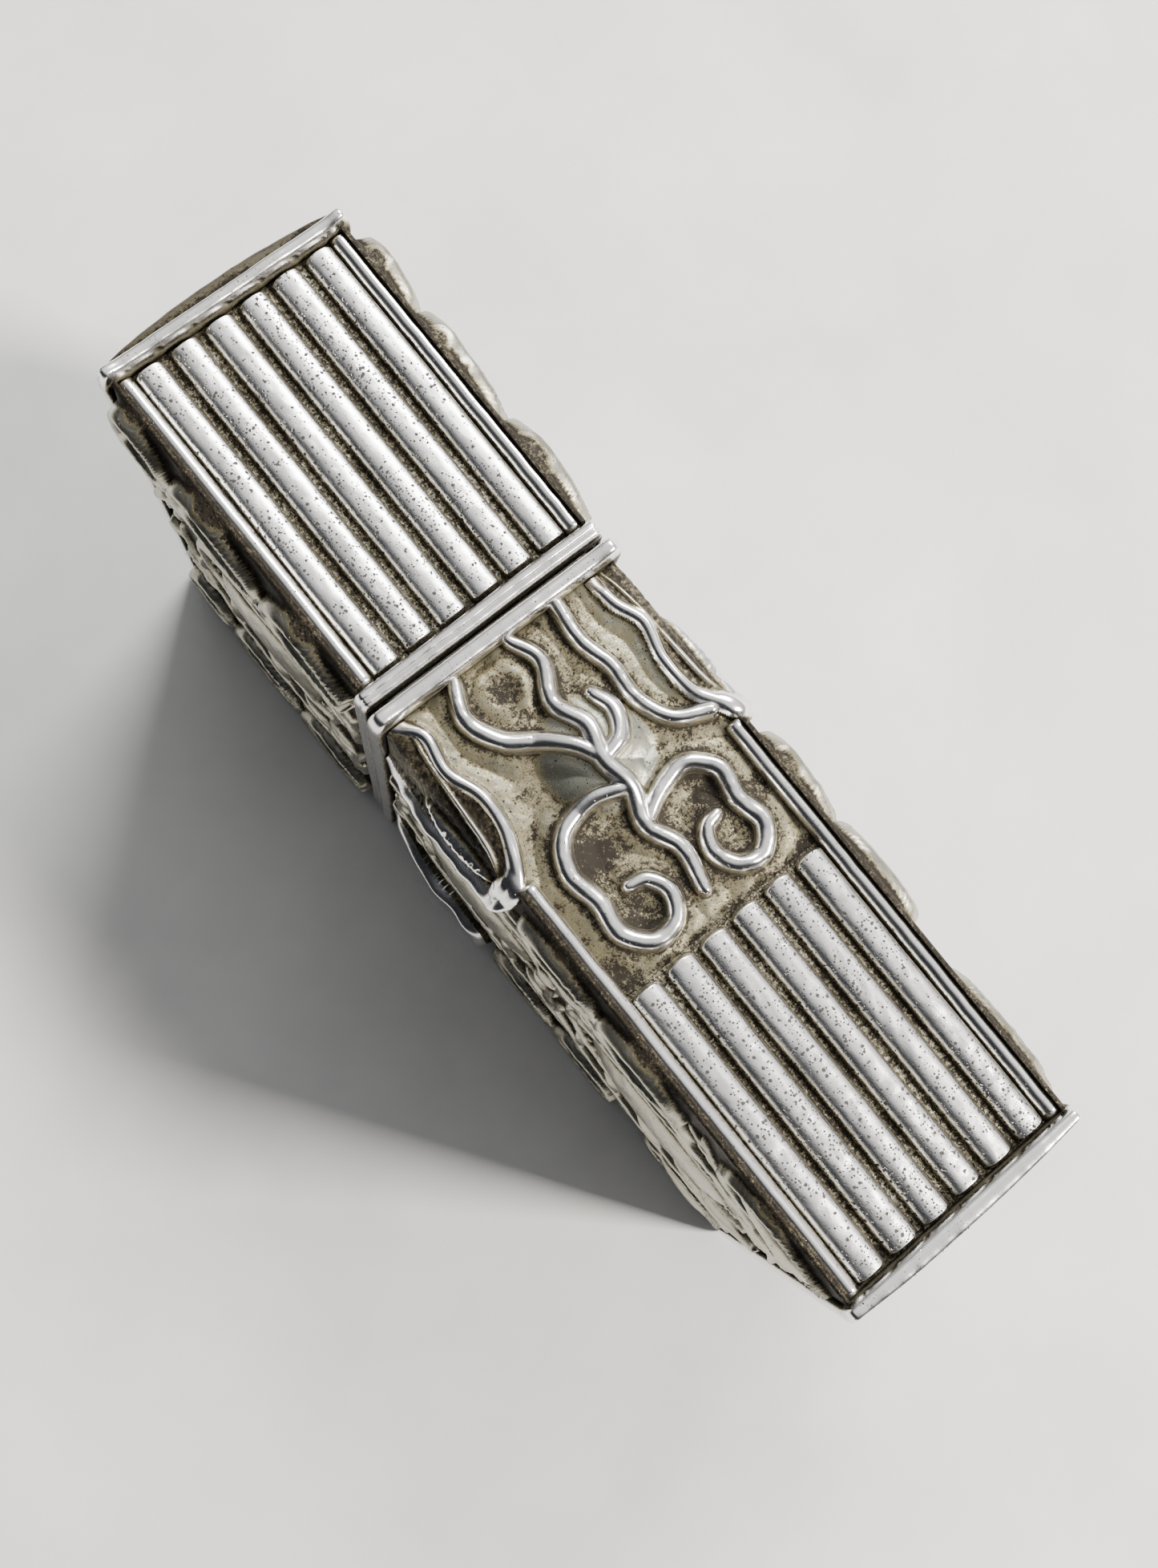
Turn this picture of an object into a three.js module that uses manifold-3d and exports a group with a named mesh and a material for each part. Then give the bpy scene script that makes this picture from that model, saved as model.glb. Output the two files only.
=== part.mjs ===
// A slim two-part silver case for a rolled parchment, lying on its back narrow side.
// Millimetres. X runs across the narrow front, Y along the case with the lid towards +Y, and Z up,
// out of the fluted front. The origin is under the middle of the case, on the plane that it rests on.
import * as THREE from "three";
import { mergeVertices } from "three/addons/utils/BufferGeometryUtils.js";
import Module from "manifold-3d";

const wasm = await Module();
wasm.setup();

// Driving dimensions.
const HALF_LENGTH = 40; // end rim to end rim is twice this
const LID_LENGTH = 29.6; // lid end to the middle of the seam
const SEAM_GAP = 0.4;
const WALL_HALF_WIDTH = 9.825; // outer faces of the wide plates
const WALL_HALF_DEPTH = 21.5; // outer edges of the wide plates
const PLATE_THICK = 0.35;
const SHEET_THICK = 0.6; // base sheet under the flutes and the panels
const FLOOR_HALF_DEPTH = 20.4; // groove floor of the narrow sides
const RIM_HALF_DEPTH = 22.2; // the rims that the case rests on
const GAP = 0.05; // kept between soldered neighbours
const RUNNING_GAP = 0.12; // between the collar and the lid's walls

const FLUTE_COUNT = 6;
const FLUTE_PITCH = 2.86;
const FLUTE_HALF_WIDTH = 1.17;
const FLUTE_HEIGHT = 0.95;
const FLUTE_FULLNESS = 0.85;
const EDGE_WIRE_X = 8.9;
const EDGE_WIRE_HALF_WIDTH = 0.5;
const EDGE_WIRE_HEIGHT = 0.95;

const END_RIM_HEIGHT = 1.1;
const MOUTH_RIM_HEIGHT = 1.35;
const END_RIM_HALF_WIDTH = 10.4;
const LID_RIM_HALF_WIDTH = 10.4;
const LID_RIM_HALF_DEPTH = 22.0;
const BODY_RIM_HALF_WIDTH = 10.65;
const COVER_HALF_WIDTH = 9.9; // the part of an end plate that covers its rim
const COVER_HALF_DEPTH = 21.8;
const COVER_EDGE = 0.15; // thickness of the cover at its edge
const DOME_RISE = 0.8; // crown of each end plate above its rim

const COLLAR_THICK = 0.6;
const COLLAR_ABOVE_SEAM = 8.5;
const COLLAR_BELOW_SEAM = 12;
const PANEL_LENGTH = 25.2; // seam to the top of the lower flutes
const TONGUE_LENGTH = 15.3; // seam to the tips of the tongues
const TONGUE_DEPTH = 9.5; // reach of a tongue along the wide side
const TONGUE_PROUD = 0.95;

const SCROLL_RADIUS = 7.4;
const SCROLL_LENGTH = 64;
const SCROLL_TURN_THICK = 0.45;
const SCROLL_LOOSENESS = 2.2; // turn spacing over turn thickness
const SCROLL_CORE_RADIUS = 2.2;
const THREAD_RADIUS = 0.35;
const SCROLL_END_CLEARANCE = 1;
const SCROLL_SIDE_CLEARANCE = 0.4;

const TENDRIL_HALF_WIDTH = 0.68;
const TENDRIL_HEIGHT = 0.85;

// Places worked out from the dimensions.
const SEAM_Y = HALF_LENGTH - LID_LENGTH;
const LID_MOUTH_Y = SEAM_Y + SEAM_GAP / 2;
const BODY_MOUTH_Y = SEAM_Y - SEAM_GAP / 2;
const PLATE_INNER_X = WALL_HALF_WIDTH - PLATE_THICK;
const SHEET_HALF_WIDTH = PLATE_INNER_X - GAP;
const SHEET_INNER_Z = FLOOR_HALF_DEPTH - SHEET_THICK;
const END_RIM_INNER_Y = HALF_LENGTH - END_RIM_HEIGHT;
const WALL_END_Y = HALF_LENGTH - 1;
const LID_RIM_TOP_Y = LID_MOUTH_Y + MOUTH_RIM_HEIGHT;
const BODY_RIM_LOW_Y = BODY_MOUTH_Y - MOUTH_RIM_HEIGHT;
const PANEL_LOW_Y = SEAM_Y - PANEL_LENGTH;
const COLLAR_HALF_WIDTH = PLATE_INNER_X - RUNNING_GAP;
const COLLAR_HALF_DEPTH = SHEET_INNER_Z - RUNNING_GAP;
const TRIM_GAP = 0.1; // between raised trim and its neighbours

const SILVER = 0xc9c7c1;
const DARK_SILVER = 0x8d8a84;
const PARCHMENT = 0xd8c49a;
const LINEN = 0xb9a786;

// ---- solids -------------------------------------------------------------------------------

function toSolid(geometry) {
  const bare = geometry.clone();
  bare.deleteAttribute("normal");
  bare.deleteAttribute("uv");
  const merged = mergeVertices(bare, 1e-4);
  return new wasm.Manifold(
    new wasm.Mesh({
      numProp: 3,
      vertProperties: merged.attributes.position.array,
      triVerts: new Uint32Array(merged.index.array),
    }),
  );
}

function toGeometry(solid) {
  const mesh = solid.getMesh();
  return new THREE.BufferGeometry()
    .setAttribute("position", new THREE.BufferAttribute(mesh.vertProperties, 3))
    .setIndex(new THREE.BufferAttribute(mesh.triVerts, 1))
    .toNonIndexed();
}

// An outline of [x, z] points, in order, carried along Y.
function prismAlongY(points, lowY, highY) {
  const shape = new THREE.Shape(points.map(([x, z]) => new THREE.Vector2(x, z)));
  return new THREE.ExtrudeGeometry(shape, { depth: highY - lowY, bevelEnabled: false })
    .rotateX(Math.PI / 2)
    .translate(0, highY, 0);
}

// An outline of [x, y] points carried along Z.
function prismAlongZ(points, lowZ, highZ) {
  const shape = new THREE.Shape(points.map(([x, y]) => new THREE.Vector2(x, y)));
  return new THREE.ExtrudeGeometry(shape, { depth: highZ - lowZ, bevelEnabled: false })
    .translate(0, 0, lowZ);
}

// An outline of [y, z] points carried along X.
function prismAlongX(points, lowX, highX) {
  const shape = new THREE.Shape(points.map(([y, z]) => new THREE.Vector2(y, z)));
  return new THREE.ExtrudeGeometry(shape, { depth: highX - lowX, bevelEnabled: false })
    .rotateX(Math.PI / 2)
    .rotateZ(Math.PI / 2)
    .translate(lowX, 0, 0);
}

function block(lowX, highX, lowY, highY, lowZ, highZ) {
  return new THREE.BoxGeometry(highX - lowX, highY - lowY, highZ - lowZ).translate(
    (lowX + highX) / 2,
    (lowY + highY) / 2,
    (lowZ + highZ) / 2,
  );
}

// Points of a low arch from x - halfWidth to x + halfWidth, rising from baseZ.
// A fullness of 1 is half an ellipse; a smaller one makes squarer shoulders.
function archPoints(x, halfWidth, baseZ, height, steps, fullness = 1) {
  const points = [];
  for (let i = 0; i <= steps; i++) {
    const angle = (Math.PI * i) / steps;
    const across = Math.sign(Math.cos(angle)) * Math.abs(Math.cos(angle)) ** fullness;
    points.push([x + halfWidth * across, baseZ + height * Math.abs(Math.sin(angle)) ** fullness]);
  }
  return points;
}

// ---- rims, plates and trim -----------------------------------------------------------------

// A half-round band round the case between two heights. Its hole clears the walls.
function rimBand(outerHalfWidth, outerHalfDepth, lowY, highY) {
  const inner = 0.1; // corner radius of the hole
  const holeX = WALL_HALF_WIDTH + GAP;
  const holeZ = FLOOR_HALF_DEPTH + GAP;
  const height = highY - lowY;
  const profile = [
    [0, lowY],
    [0.45, lowY],
    [0.85, lowY + 0.15 * height],
    [1, lowY + 0.33 * height],
    [1, lowY + 0.67 * height],
    [0.85, lowY + 0.85 * height],
    [0.45, highY],
    [0, highY],
  ];
  const cornerSteps = 3;
  const path = [];
  for (let corner = 0; corner < 4; corner++)
    for (let i = 0; i <= cornerSteps; i++) {
      const angle = ((corner + i / cornerSteps) * Math.PI) / 2;
      const signX = corner === 0 || corner === 3 ? 1 : -1;
      const signZ = corner < 2 ? 1 : -1;
      path.push([signX, signZ, Math.cos(angle), Math.sin(angle)]);
    }
  const positions = [];
  for (const [signX, signZ, cos, sin] of path)
    for (const [share, y] of profile)
      positions.push(
        signX * (holeX - inner) + (inner + share * (outerHalfWidth - holeX)) * cos,
        y,
        signZ * (holeZ - inner) + (inner + share * (outerHalfDepth - holeZ)) * sin,
      );
  const count = profile.length;
  const faces = [];
  for (let i = 0; i < path.length; i++)
    for (let j = 0; j < count; j++) {
      const next = (i + 1) % path.length;
      const up = (j + 1) % count;
      const [a, b] = [i * count + j, i * count + up];
      const [c, d] = [next * count + up, next * count + j];
      faces.push(a, b, c, a, c, d);
    }
  return new THREE.BufferGeometry()
    .setAttribute("position", new THREE.Float32BufferAttribute(positions, 3))
    .setIndex(faces);
}

// A closed end: a plug that fills the end rim, and a bowed cover over it and the rim.
function endPlate() {
  const halfX = WALL_HALF_WIDTH - GAP;
  const halfZ = FLOOR_HALF_DEPTH - GAP;
  const coverY = HALF_LENGTH + GAP;
  const plug = toSolid(block(-halfX, halfX, WALL_END_Y, coverY + COVER_EDGE / 2, -halfZ, halfZ));
  const cover = new THREE.BoxGeometry(2 * COVER_HALF_WIDTH, COVER_EDGE, 2 * COVER_HALF_DEPTH, 8, 1, 14);
  cover.translate(0, coverY + COVER_EDGE / 2, 0);
  const rise = DOME_RISE - GAP - COVER_EDGE;
  const at = cover.attributes.position;
  for (let i = 0; i < at.count; i++) {
    if (at.getY(i) < coverY + COVER_EDGE / 2) continue;
    const acrossX = 1 - (at.getX(i) / COVER_HALF_WIDTH) ** 2;
    const acrossZ = 1 - Math.abs(at.getZ(i) / COVER_HALF_DEPTH) ** 12;
    at.setY(i, at.getY(i) + rise * Math.max(0, acrossX) * Math.sqrt(Math.max(0, acrossZ)));
  }
  return toGeometry(plug.add(toSolid(cover)));
}

// The base sheet of a narrow side with its row of half-round flutes.
function fluteSheet(sheetLow, sheetHigh, fluteLow, fluteHigh) {
  let solid = toSolid(
    block(-SHEET_HALF_WIDTH, SHEET_HALF_WIDTH, sheetLow, sheetHigh, SHEET_INNER_Z, FLOOR_HALF_DEPTH),
  );
  for (let i = 0; i < FLUTE_COUNT; i++) {
    const x = (i - (FLUTE_COUNT - 1) / 2) * FLUTE_PITCH;
    const root = FLOOR_HALF_DEPTH - 0.1;
    const arch = archPoints(x, FLUTE_HALF_WIDTH, root, FLUTE_HEIGHT + 0.1, 8, FLUTE_FULLNESS);
    solid = solid.add(toSolid(prismAlongY(arch, fluteLow, fluteHigh)));
  }
  return toGeometry(solid);
}

function edgeWire(side, lowY, highY) {
  const base = FLOOR_HALF_DEPTH + GAP;
  const arch = archPoints(side * EDGE_WIRE_X, EDGE_WIRE_HALF_WIDTH, base, EDGE_WIRE_HEIGHT, 5);
  return prismAlongY(arch, lowY, highY);
}

// A low smooth boss standing on the outside of the right-hand plate.
function boss([y, z, halfLength, halfWidth, height]) {
  return toSolid(
    new THREE.SphereGeometry(1, 8, 6)
      .scale(height, halfLength, halfWidth)
      .translate(WALL_HALF_WIDTH - 0.1, y, z),
  );
}

// A wide side: the sheet, narrower where it passes through the two rims, and its embossed bosses.
function widePlate(mouthY, rimY, stopY, endY, bosses) {
  const [wide, narrow] = [WALL_HALF_DEPTH, FLOOR_HALF_DEPTH];
  const outline = [
    [mouthY, -narrow],
    [rimY, -narrow],
    [rimY, -wide],
    [stopY, -wide],
    [stopY, -narrow],
    [endY, -narrow],
    [endY, narrow],
    [stopY, narrow],
    [stopY, wide],
    [rimY, wide],
    [rimY, narrow],
    [mouthY, narrow],
  ];
  let solid = toSolid(prismAlongX(outline, PLATE_INNER_X, WALL_HALF_WIDTH));
  for (const one of bosses) solid = solid.add(boss(one));
  const beyondBosses = WALL_HALF_WIDTH + 3;
  const keep = toSolid(block(PLATE_INNER_X, beyondBosses, -HALF_LENGTH, HALF_LENGTH, -wide, wide));
  return toGeometry(solid.intersect(keep));
}

// Each boss is y, z, half length, half width and height; each row stands at both edges of a plate.
const LID_EDGE_BOSSES = [
  [35.5, 17.6, 2.9, 2.9, 0.95],
  [26.8, 17.6, 4.5, 2.9, 1.0],
  [16.8, 17.6, 4.3, 2.9, 0.95],
];
const LID_CENTRE_BOSSES = [[24.4, 0, 6.9, 4.8, 1.3]];
const BODY_EDGE_BOSSES = [
  [-10.8, 18.3, 3.9, 2.4, 0.85],
  [-19.4, 18.3, 4.2, 2.4, 0.85],
  [-33.4, 18.2, 5.0, 2.5, 1.0],
];
const BODY_CENTRE_BOSSES = [
  [-2.6, 0, 6.9, 4.3, 1.2],
  [-25.2, 0, 8.6, 5.3, 1.3],
];

function atBothEdges(rows) {
  return rows.flatMap(([y, z, ...rest]) => [
    [y, z, ...rest],
    [y, -z, ...rest],
  ]);
}

// ---- the ornamented top of the body ---------------------------------------------------------

// The domes of a panel: x, y, radius across, radius along and height.
const PANEL_DOMES = [
  [0.35, -1.0, 4.3, 4.7, 0.75],
  [-1.9, 6.2, 2.3, 2.3, 0.45],
];

// The panel's solid; a grown one cuts its neighbours clear.
function panelSolid(grow) {
  let solid = toSolid(
    block(
      -SHEET_HALF_WIDTH,
      SHEET_HALF_WIDTH,
      PANEL_LOW_Y + GAP,
      BODY_MOUTH_Y - GAP,
      SHEET_INNER_Z,
      FLOOR_HALF_DEPTH + grow,
    ),
  );
  for (const [x, y, radiusX, radiusY, height] of PANEL_DOMES) {
    const dome = new THREE.SphereGeometry(1, 14, 6)
      .rotateX(Math.PI / 2)
      .scale(radiusX + grow, radiusY + grow, height + grow)
      .translate(x, y, FLOOR_HALF_DEPTH - 0.02);
    solid = solid.add(toSolid(dome));
  }
  const wide = WALL_HALF_WIDTH;
  const keep = block(-wide, wide, -HALF_LENGTH, HALF_LENGTH, SHEET_INNER_Z, WALL_HALF_DEPTH + 1);
  return solid.intersect(toSolid(keep));
}

// One tendril: a half-round bar along a curve of [x, y] points that stays on the panel and its domes.
function tendril(points) {
  const at = points.map(([x, y]) => new THREE.Vector3(x, y, panelHeight(x, y) + TRIM_GAP));
  const curve = new THREE.CatmullRomCurve3(at, false, "centripetal");
  const arch = archPoints(0, TENDRIL_HALF_WIDTH, 0, TENDRIL_HEIGHT, 4);
  const section = new THREE.Shape(arch.map(([across, up]) => new THREE.Vector2(-up, across)));
  const steps = 3 * (points.length - 1);
  return toSolid(new THREE.ExtrudeGeometry(section, { steps, extrudePath: curve }));
}

// Height of the panel's outer face at x, y.
function panelHeight(x, y) {
  let rise = 0;
  for (const [cx, cy, radiusX, radiusY, height] of PANEL_DOMES) {
    const away = ((x - cx) / radiusX) ** 2 + ((y - cy) / radiusY) ** 2;
    if (away < 1) rise = Math.max(rise, height * Math.sqrt(1 - away));
  }
  return FLOOR_HALF_DEPTH + rise;
}

// The vine on each panel: a winding stem, two tendrils that join it over the large dome,
// and a coiled shoot on either side below. Each is a row of [x, y] points.
const STEM = [
  [0.4, 8.4],
  [1.3, 6.3],
  [0.1, 3.6],
  [0.9, 1.0],
  [0.2, -1.6],
  [0.6, -4.2],
  [-0.2, -6.8],
  [0.8, -9.4],
  [0.2, -12.6],
];
const UPPER_LEFT_TENDRIL = [
  [-4.2, 8.4],
  [-5.3, 6.2],
  [-4.2, 3.6],
  [-2.2, 2.0],
  [-0.6, 0.2],
  [0.2, -1.6],
];
const UPPER_RIGHT_TENDRIL = [[0.2, -1.6], [2.2, -1.0], [3.1, 0.8], [2.6, 2.6]];
const LEFT_COIL = [
  [0.6, -4.2],
  [-2.2, -3.2],
  [-5.0, -3.9],
  [-6.3, -6.2],
  [-5.9, -8.8],
  [-6.1, -11.3],
  [-4.6, -13.1],
  [-2.6, -12.9],
];
const LEFT_COIL_TIP = [[-2.6, -12.9], [-1.7, -11.2], [-2.4, -9.6], [-3.7, -9.2]];
const RIGHT_COIL = [
  [-0.2, -6.8],
  [1.9, -5.6],
  [4.5, -5.1],
  [6.2, -6.8],
  [5.9, -9.2],
  [6.3, -11.5],
  [4.9, -13.1],
  [3.1, -12.7],
];
const RIGHT_COIL_TIP = [[3.1, -12.7], [2.3, -11.0], [2.9, -9.5], [4.1, -9.1]];
const VINE = [
  STEM,
  UPPER_LEFT_TENDRIL,
  UPPER_RIGHT_TENDRIL,
  LEFT_COIL,
  LEFT_COIL_TIP,
  RIGHT_COIL,
  RIGHT_COIL_TIP,
];

function vine() {
  const bars = VINE.map(tendril);
  const joined = bars.reduce((all, one) => all.add(one));
  return toGeometry(joined.subtract(panelSolid(GAP)));
}

// A second wavy wire stands inside the right-hand tongue of each panel.
const INNER_WAVE = [[4.5, 8.3], [4.3, 5.6], [4.9, 3.1], [4.8, 0.4], [5.6, -1.9], [6.9, -3.0]];

function innerWave() {
  return toGeometry(tendril(INNER_WAVE).subtract(panelSolid(GAP)));
}

// The wavy front edge of a left-hand tongue as [x, y] points, from the rim to the tip.
const TONGUE_WAVE = [[-7.7, 7.0], [-8.2, 4.2], [-7.3, 1.4], [-7.6, -1.4], [-8.8, -3.6]];
const TONGUE_CROWN = 0.6; // of its rounded corner above the edge of the wide plate
const TONGUE_TIP_RADIUS = 5;

// A tongue: a strap end that wraps one corner of the body, from the rim down to a rounded tip.
// This is the left-hand one, with a wavy edge on the front.
function tongue() {
  const low = SEAM_Y - TONGUE_LENGTH;
  const high = BODY_RIM_LOW_Y - TRIM_GAP;
  const sideX = WALL_HALF_WIDTH + TRIM_GAP;
  const outX = sideX + TONGUE_PROUD;
  const topZ = WALL_HALF_DEPTH + TONGUE_CROWN;
  const lipZ = WALL_HALF_DEPTH + TRIM_GAP;
  const footZ = FLOOR_HALF_DEPTH + TRIM_GAP;
  const endZ = WALL_HALF_DEPTH - TONGUE_DEPTH;
  const beyondWaveX = -6;
  const section = [
    [-outX, endZ],
    [-outX, topZ - 1.1],
    [-outX + 0.35, topZ - 0.3],
    [-outX + 1.1, topZ],
    [beyondWaveX, topZ - 0.3],
    [beyondWaveX, footZ],
    [-SHEET_HALF_WIDTH, footZ],
    [-SHEET_HALF_WIDTH, lipZ],
    [-sideX, lipZ],
    [-sideX, endZ],
  ];
  const solid = toSolid(prismAlongY(section, low, high));
  const beyondX = -outX - 1;
  const edge = [[-8.2, high], ...TONGUE_WAVE, [-10.2, low]];
  const wave = new THREE.SplineCurve(edge.map(([x, y]) => new THREE.Vector2(x, y)));
  const front = [...wave.getPoints(12).map((p) => [p.x, p.y]), [beyondX, low], [beyondX, high]];
  const tip = new THREE.EllipseCurve(
    low + TONGUE_TIP_RADIUS,
    topZ - 5,
    TONGUE_TIP_RADIUS,
    TONGUE_DEPTH - 4,
    Math.PI,
    1.5 * Math.PI,
  );
  const tipPoints = tip.getPoints(6).map((p) => [p.x, p.y]);
  const side = [[high, topZ + 1], [low, topZ + 1], ...tipPoints, [high, endZ]];
  return toGeometry(
    solid
      .intersect(toSolid(prismAlongZ(front, endZ - 1, topZ + 1)))
      .intersect(toSolid(prismAlongX(side, beyondX, -5))),
  );
}

// ---- inside -------------------------------------------------------------------------------

// The sleeve soldered inside the body's mouth, which the lid slides over.
function collar() {
  const tube = (halfX, halfZ, low, high) =>
    toSolid(block(-halfX, halfX, low, high, -halfZ, halfZ));
  const low = SEAM_Y - COLLAR_BELOW_SEAM;
  const high = SEAM_Y + COLLAR_ABOVE_SEAM;
  const [holeX, holeZ] = [COLLAR_HALF_WIDTH - COLLAR_THICK, COLLAR_HALF_DEPTH - COLLAR_THICK];
  const hole = tube(holeX, holeZ, low - 1, high + 1);
  return toGeometry(tube(COLLAR_HALF_WIDTH, COLLAR_HALF_DEPTH, low, high).subtract(hole));
}

// A spiral strip: the rolled parchment, open at its core.
function scroll() {
  const pitch = SCROLL_TURN_THICK * SCROLL_LOOSENESS;
  const turns = (SCROLL_RADIUS - SCROLL_CORE_RADIUS - SCROLL_TURN_THICK) / pitch;
  const steps = Math.round(turns * 14);
  const outer = [];
  const inner = [];
  for (let i = 0; i <= steps; i++) {
    const angle = (2 * Math.PI * turns * i) / steps;
    const radius = SCROLL_CORE_RADIUS + (pitch * turns * i) / steps;
    inner.push([radius * Math.cos(angle), radius * Math.sin(angle)]);
    const out = radius + SCROLL_TURN_THICK;
    outer.push([out * Math.cos(angle), out * Math.sin(angle)]);
  }
  return prismAlongY([...outer, ...inner.reverse()], -SCROLL_LENGTH / 2, SCROLL_LENGTH / 2);
}

// The linen thread tied round the middle of the roll.
function thread() {
  const ring = new THREE.TorusGeometry(SCROLL_RADIUS + THREAD_RADIUS + GAP, THREAD_RADIUS, 6, 28);
  return ring.rotateX(Math.PI / 2);
}

// ---- assembly -----------------------------------------------------------------------------

function metal(color, roughness) {
  return new THREE.MeshStandardMaterial({ color, roughness, metalness: 1 });
}

function addMesh(group, name, geometry, material = metal(SILVER, 0.35)) {
  const mesh = new THREE.Mesh(geometry, material);
  mesh.name = name;
  group.add(mesh);
  return mesh;
}

const model = new THREE.Group();
const caseAxis = new THREE.Group();
caseAxis.position.z = RIM_HALF_DEPTH;
model.add(caseAxis);

// The back of the case is the front turned half round its long axis.
const sides = [
  { name: "front", turn: 0, left: "left", right: "right" },
  { name: "back", turn: Math.PI, left: "right", right: "left" },
];

function buildNarrowSides(part, flutes, wireLow, wireHigh) {
  for (const side of sides) {
    const group = new THREE.Group();
    group.rotation.y = side.turn;
    caseAxis.add(group);
    addMesh(group, `${part}_${side.name}_flutes`, flutes);
    addMesh(group, `${part}_${side.name}_${side.left}_wire`, edgeWire(-1, wireLow, wireHigh));
    addMesh(group, `${part}_${side.name}_${side.right}_wire`, edgeWire(1, wireLow, wireHigh));
  }
}

function buildWideSides(part, plate) {
  addMesh(caseAxis, `${part}_right_plate`, plate, metal(DARK_SILVER, 0.4));
  const left = addMesh(caseAxis, `${part}_left_plate`, plate, metal(DARK_SILVER, 0.4));
  left.rotation.y = Math.PI;
}

function buildLid() {
  const trimLow = LID_RIM_TOP_Y + TRIM_GAP;
  const trimHigh = END_RIM_INNER_Y - TRIM_GAP;
  const wallLow = LID_MOUTH_Y;
  const wallHigh = WALL_END_Y - GAP;
  buildNarrowSides("lid", fluteSheet(wallLow, wallHigh, trimLow, trimHigh), trimLow, trimHigh);
  const bosses = [...atBothEdges(LID_EDGE_BOSSES), ...LID_CENTRE_BOSSES];
  buildWideSides("lid", widePlate(wallLow, trimLow, trimHigh, wallHigh, bosses));
  addMesh(caseAxis, "lid_end_plate", endPlate());
  addMesh(
    caseAxis,
    "lid_end_rim",
    rimBand(END_RIM_HALF_WIDTH, RIM_HALF_DEPTH, END_RIM_INNER_Y, HALF_LENGTH),
  );
  addMesh(
    caseAxis,
    "lid_mouth_rim",
    rimBand(LID_RIM_HALF_WIDTH, LID_RIM_HALF_DEPTH, LID_MOUTH_Y, LID_RIM_TOP_Y),
  );
}

function buildBody() {
  const trimLow = -END_RIM_INNER_Y + TRIM_GAP;
  const trimHigh = BODY_RIM_LOW_Y - TRIM_GAP;
  const wireHigh = SEAM_Y - TONGUE_LENGTH - TRIM_GAP;
  const wallLow = -WALL_END_Y + GAP;
  const fluteHigh = PANEL_LOW_Y - GAP;
  buildNarrowSides("body", fluteSheet(wallLow, fluteHigh, trimLow, fluteHigh), trimLow, wireHigh);
  const bosses = [...atBothEdges(BODY_EDGE_BOSSES), ...BODY_CENTRE_BOSSES];
  buildWideSides("body", widePlate(BODY_MOUTH_Y, trimHigh, trimLow, wallLow, bosses));
  const end = addMesh(caseAxis, "body_end_plate", endPlate());
  end.rotation.z = Math.PI;
  addMesh(
    caseAxis,
    "body_end_rim",
    rimBand(END_RIM_HALF_WIDTH, RIM_HALF_DEPTH, -HALF_LENGTH, -END_RIM_INNER_Y),
  );
  addMesh(
    caseAxis,
    "body_mouth_rim",
    rimBand(BODY_RIM_HALF_WIDTH, RIM_HALF_DEPTH, BODY_RIM_LOW_Y, BODY_MOUTH_Y),
  );
  addMesh(caseAxis, "inner_collar", collar());
}

// The left-hand tongue mirrored, for the right-hand corner.
function mirroredInX(geometry) {
  const solid = toSolid(geometry).mirror([1, 0, 0]);
  return toGeometry(solid);
}

function buildOrnament() {
  const panel = toGeometry(panelSolid(0));
  const leftTongue = tongue();
  const rightTongue = mirroredInX(leftTongue);
  for (const side of sides) {
    const group = new THREE.Group();
    group.rotation.y = side.turn;
    caseAxis.add(group);
    addMesh(group, `${side.name}_panel`, panel, metal(DARK_SILVER, 0.45));
    addMesh(group, `${side.name}_vine`, vine());
    addMesh(group, `${side.name}_inner_wave`, innerWave());
    addMesh(group, `${side.name}_${side.left}_tongue`, leftTongue);
    addMesh(group, `${side.name}_${side.right}_tongue`, rightTongue);
  }
}

function buildScroll() {
  const roll = new THREE.Group();
  const lowestZ = -COLLAR_HALF_DEPTH + COLLAR_THICK + 2 * THREAD_RADIUS + SCROLL_SIDE_CLEARANCE;
  const lowestY = -WALL_END_Y + SCROLL_END_CLEARANCE;
  roll.position.set(0, lowestY + SCROLL_LENGTH / 2, lowestZ + SCROLL_RADIUS);
  caseAxis.add(roll);
  const vellum = new THREE.MeshStandardMaterial({ color: PARCHMENT, roughness: 0.7, metalness: 0 });
  const linen = new THREE.MeshStandardMaterial({ color: LINEN, roughness: 0.9, metalness: 0 });
  addMesh(roll, "parchment_scroll", scroll(), vellum);
  addMesh(roll, "scroll_thread", thread(), linen);
}

buildLid();
buildBody();
buildOrnament();
buildScroll();

export default model;
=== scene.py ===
"""Looks of a two-part silver scroll case, built round its CAD frame.

All working lengths are millimetres. Points are measured from the case's own long axis:
x across the narrow front, y along the case with the lid towards +y, z out of the fluted front.
"""

import math

import bpy
import numpy as np
from mathutils import Matrix, Vector


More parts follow.
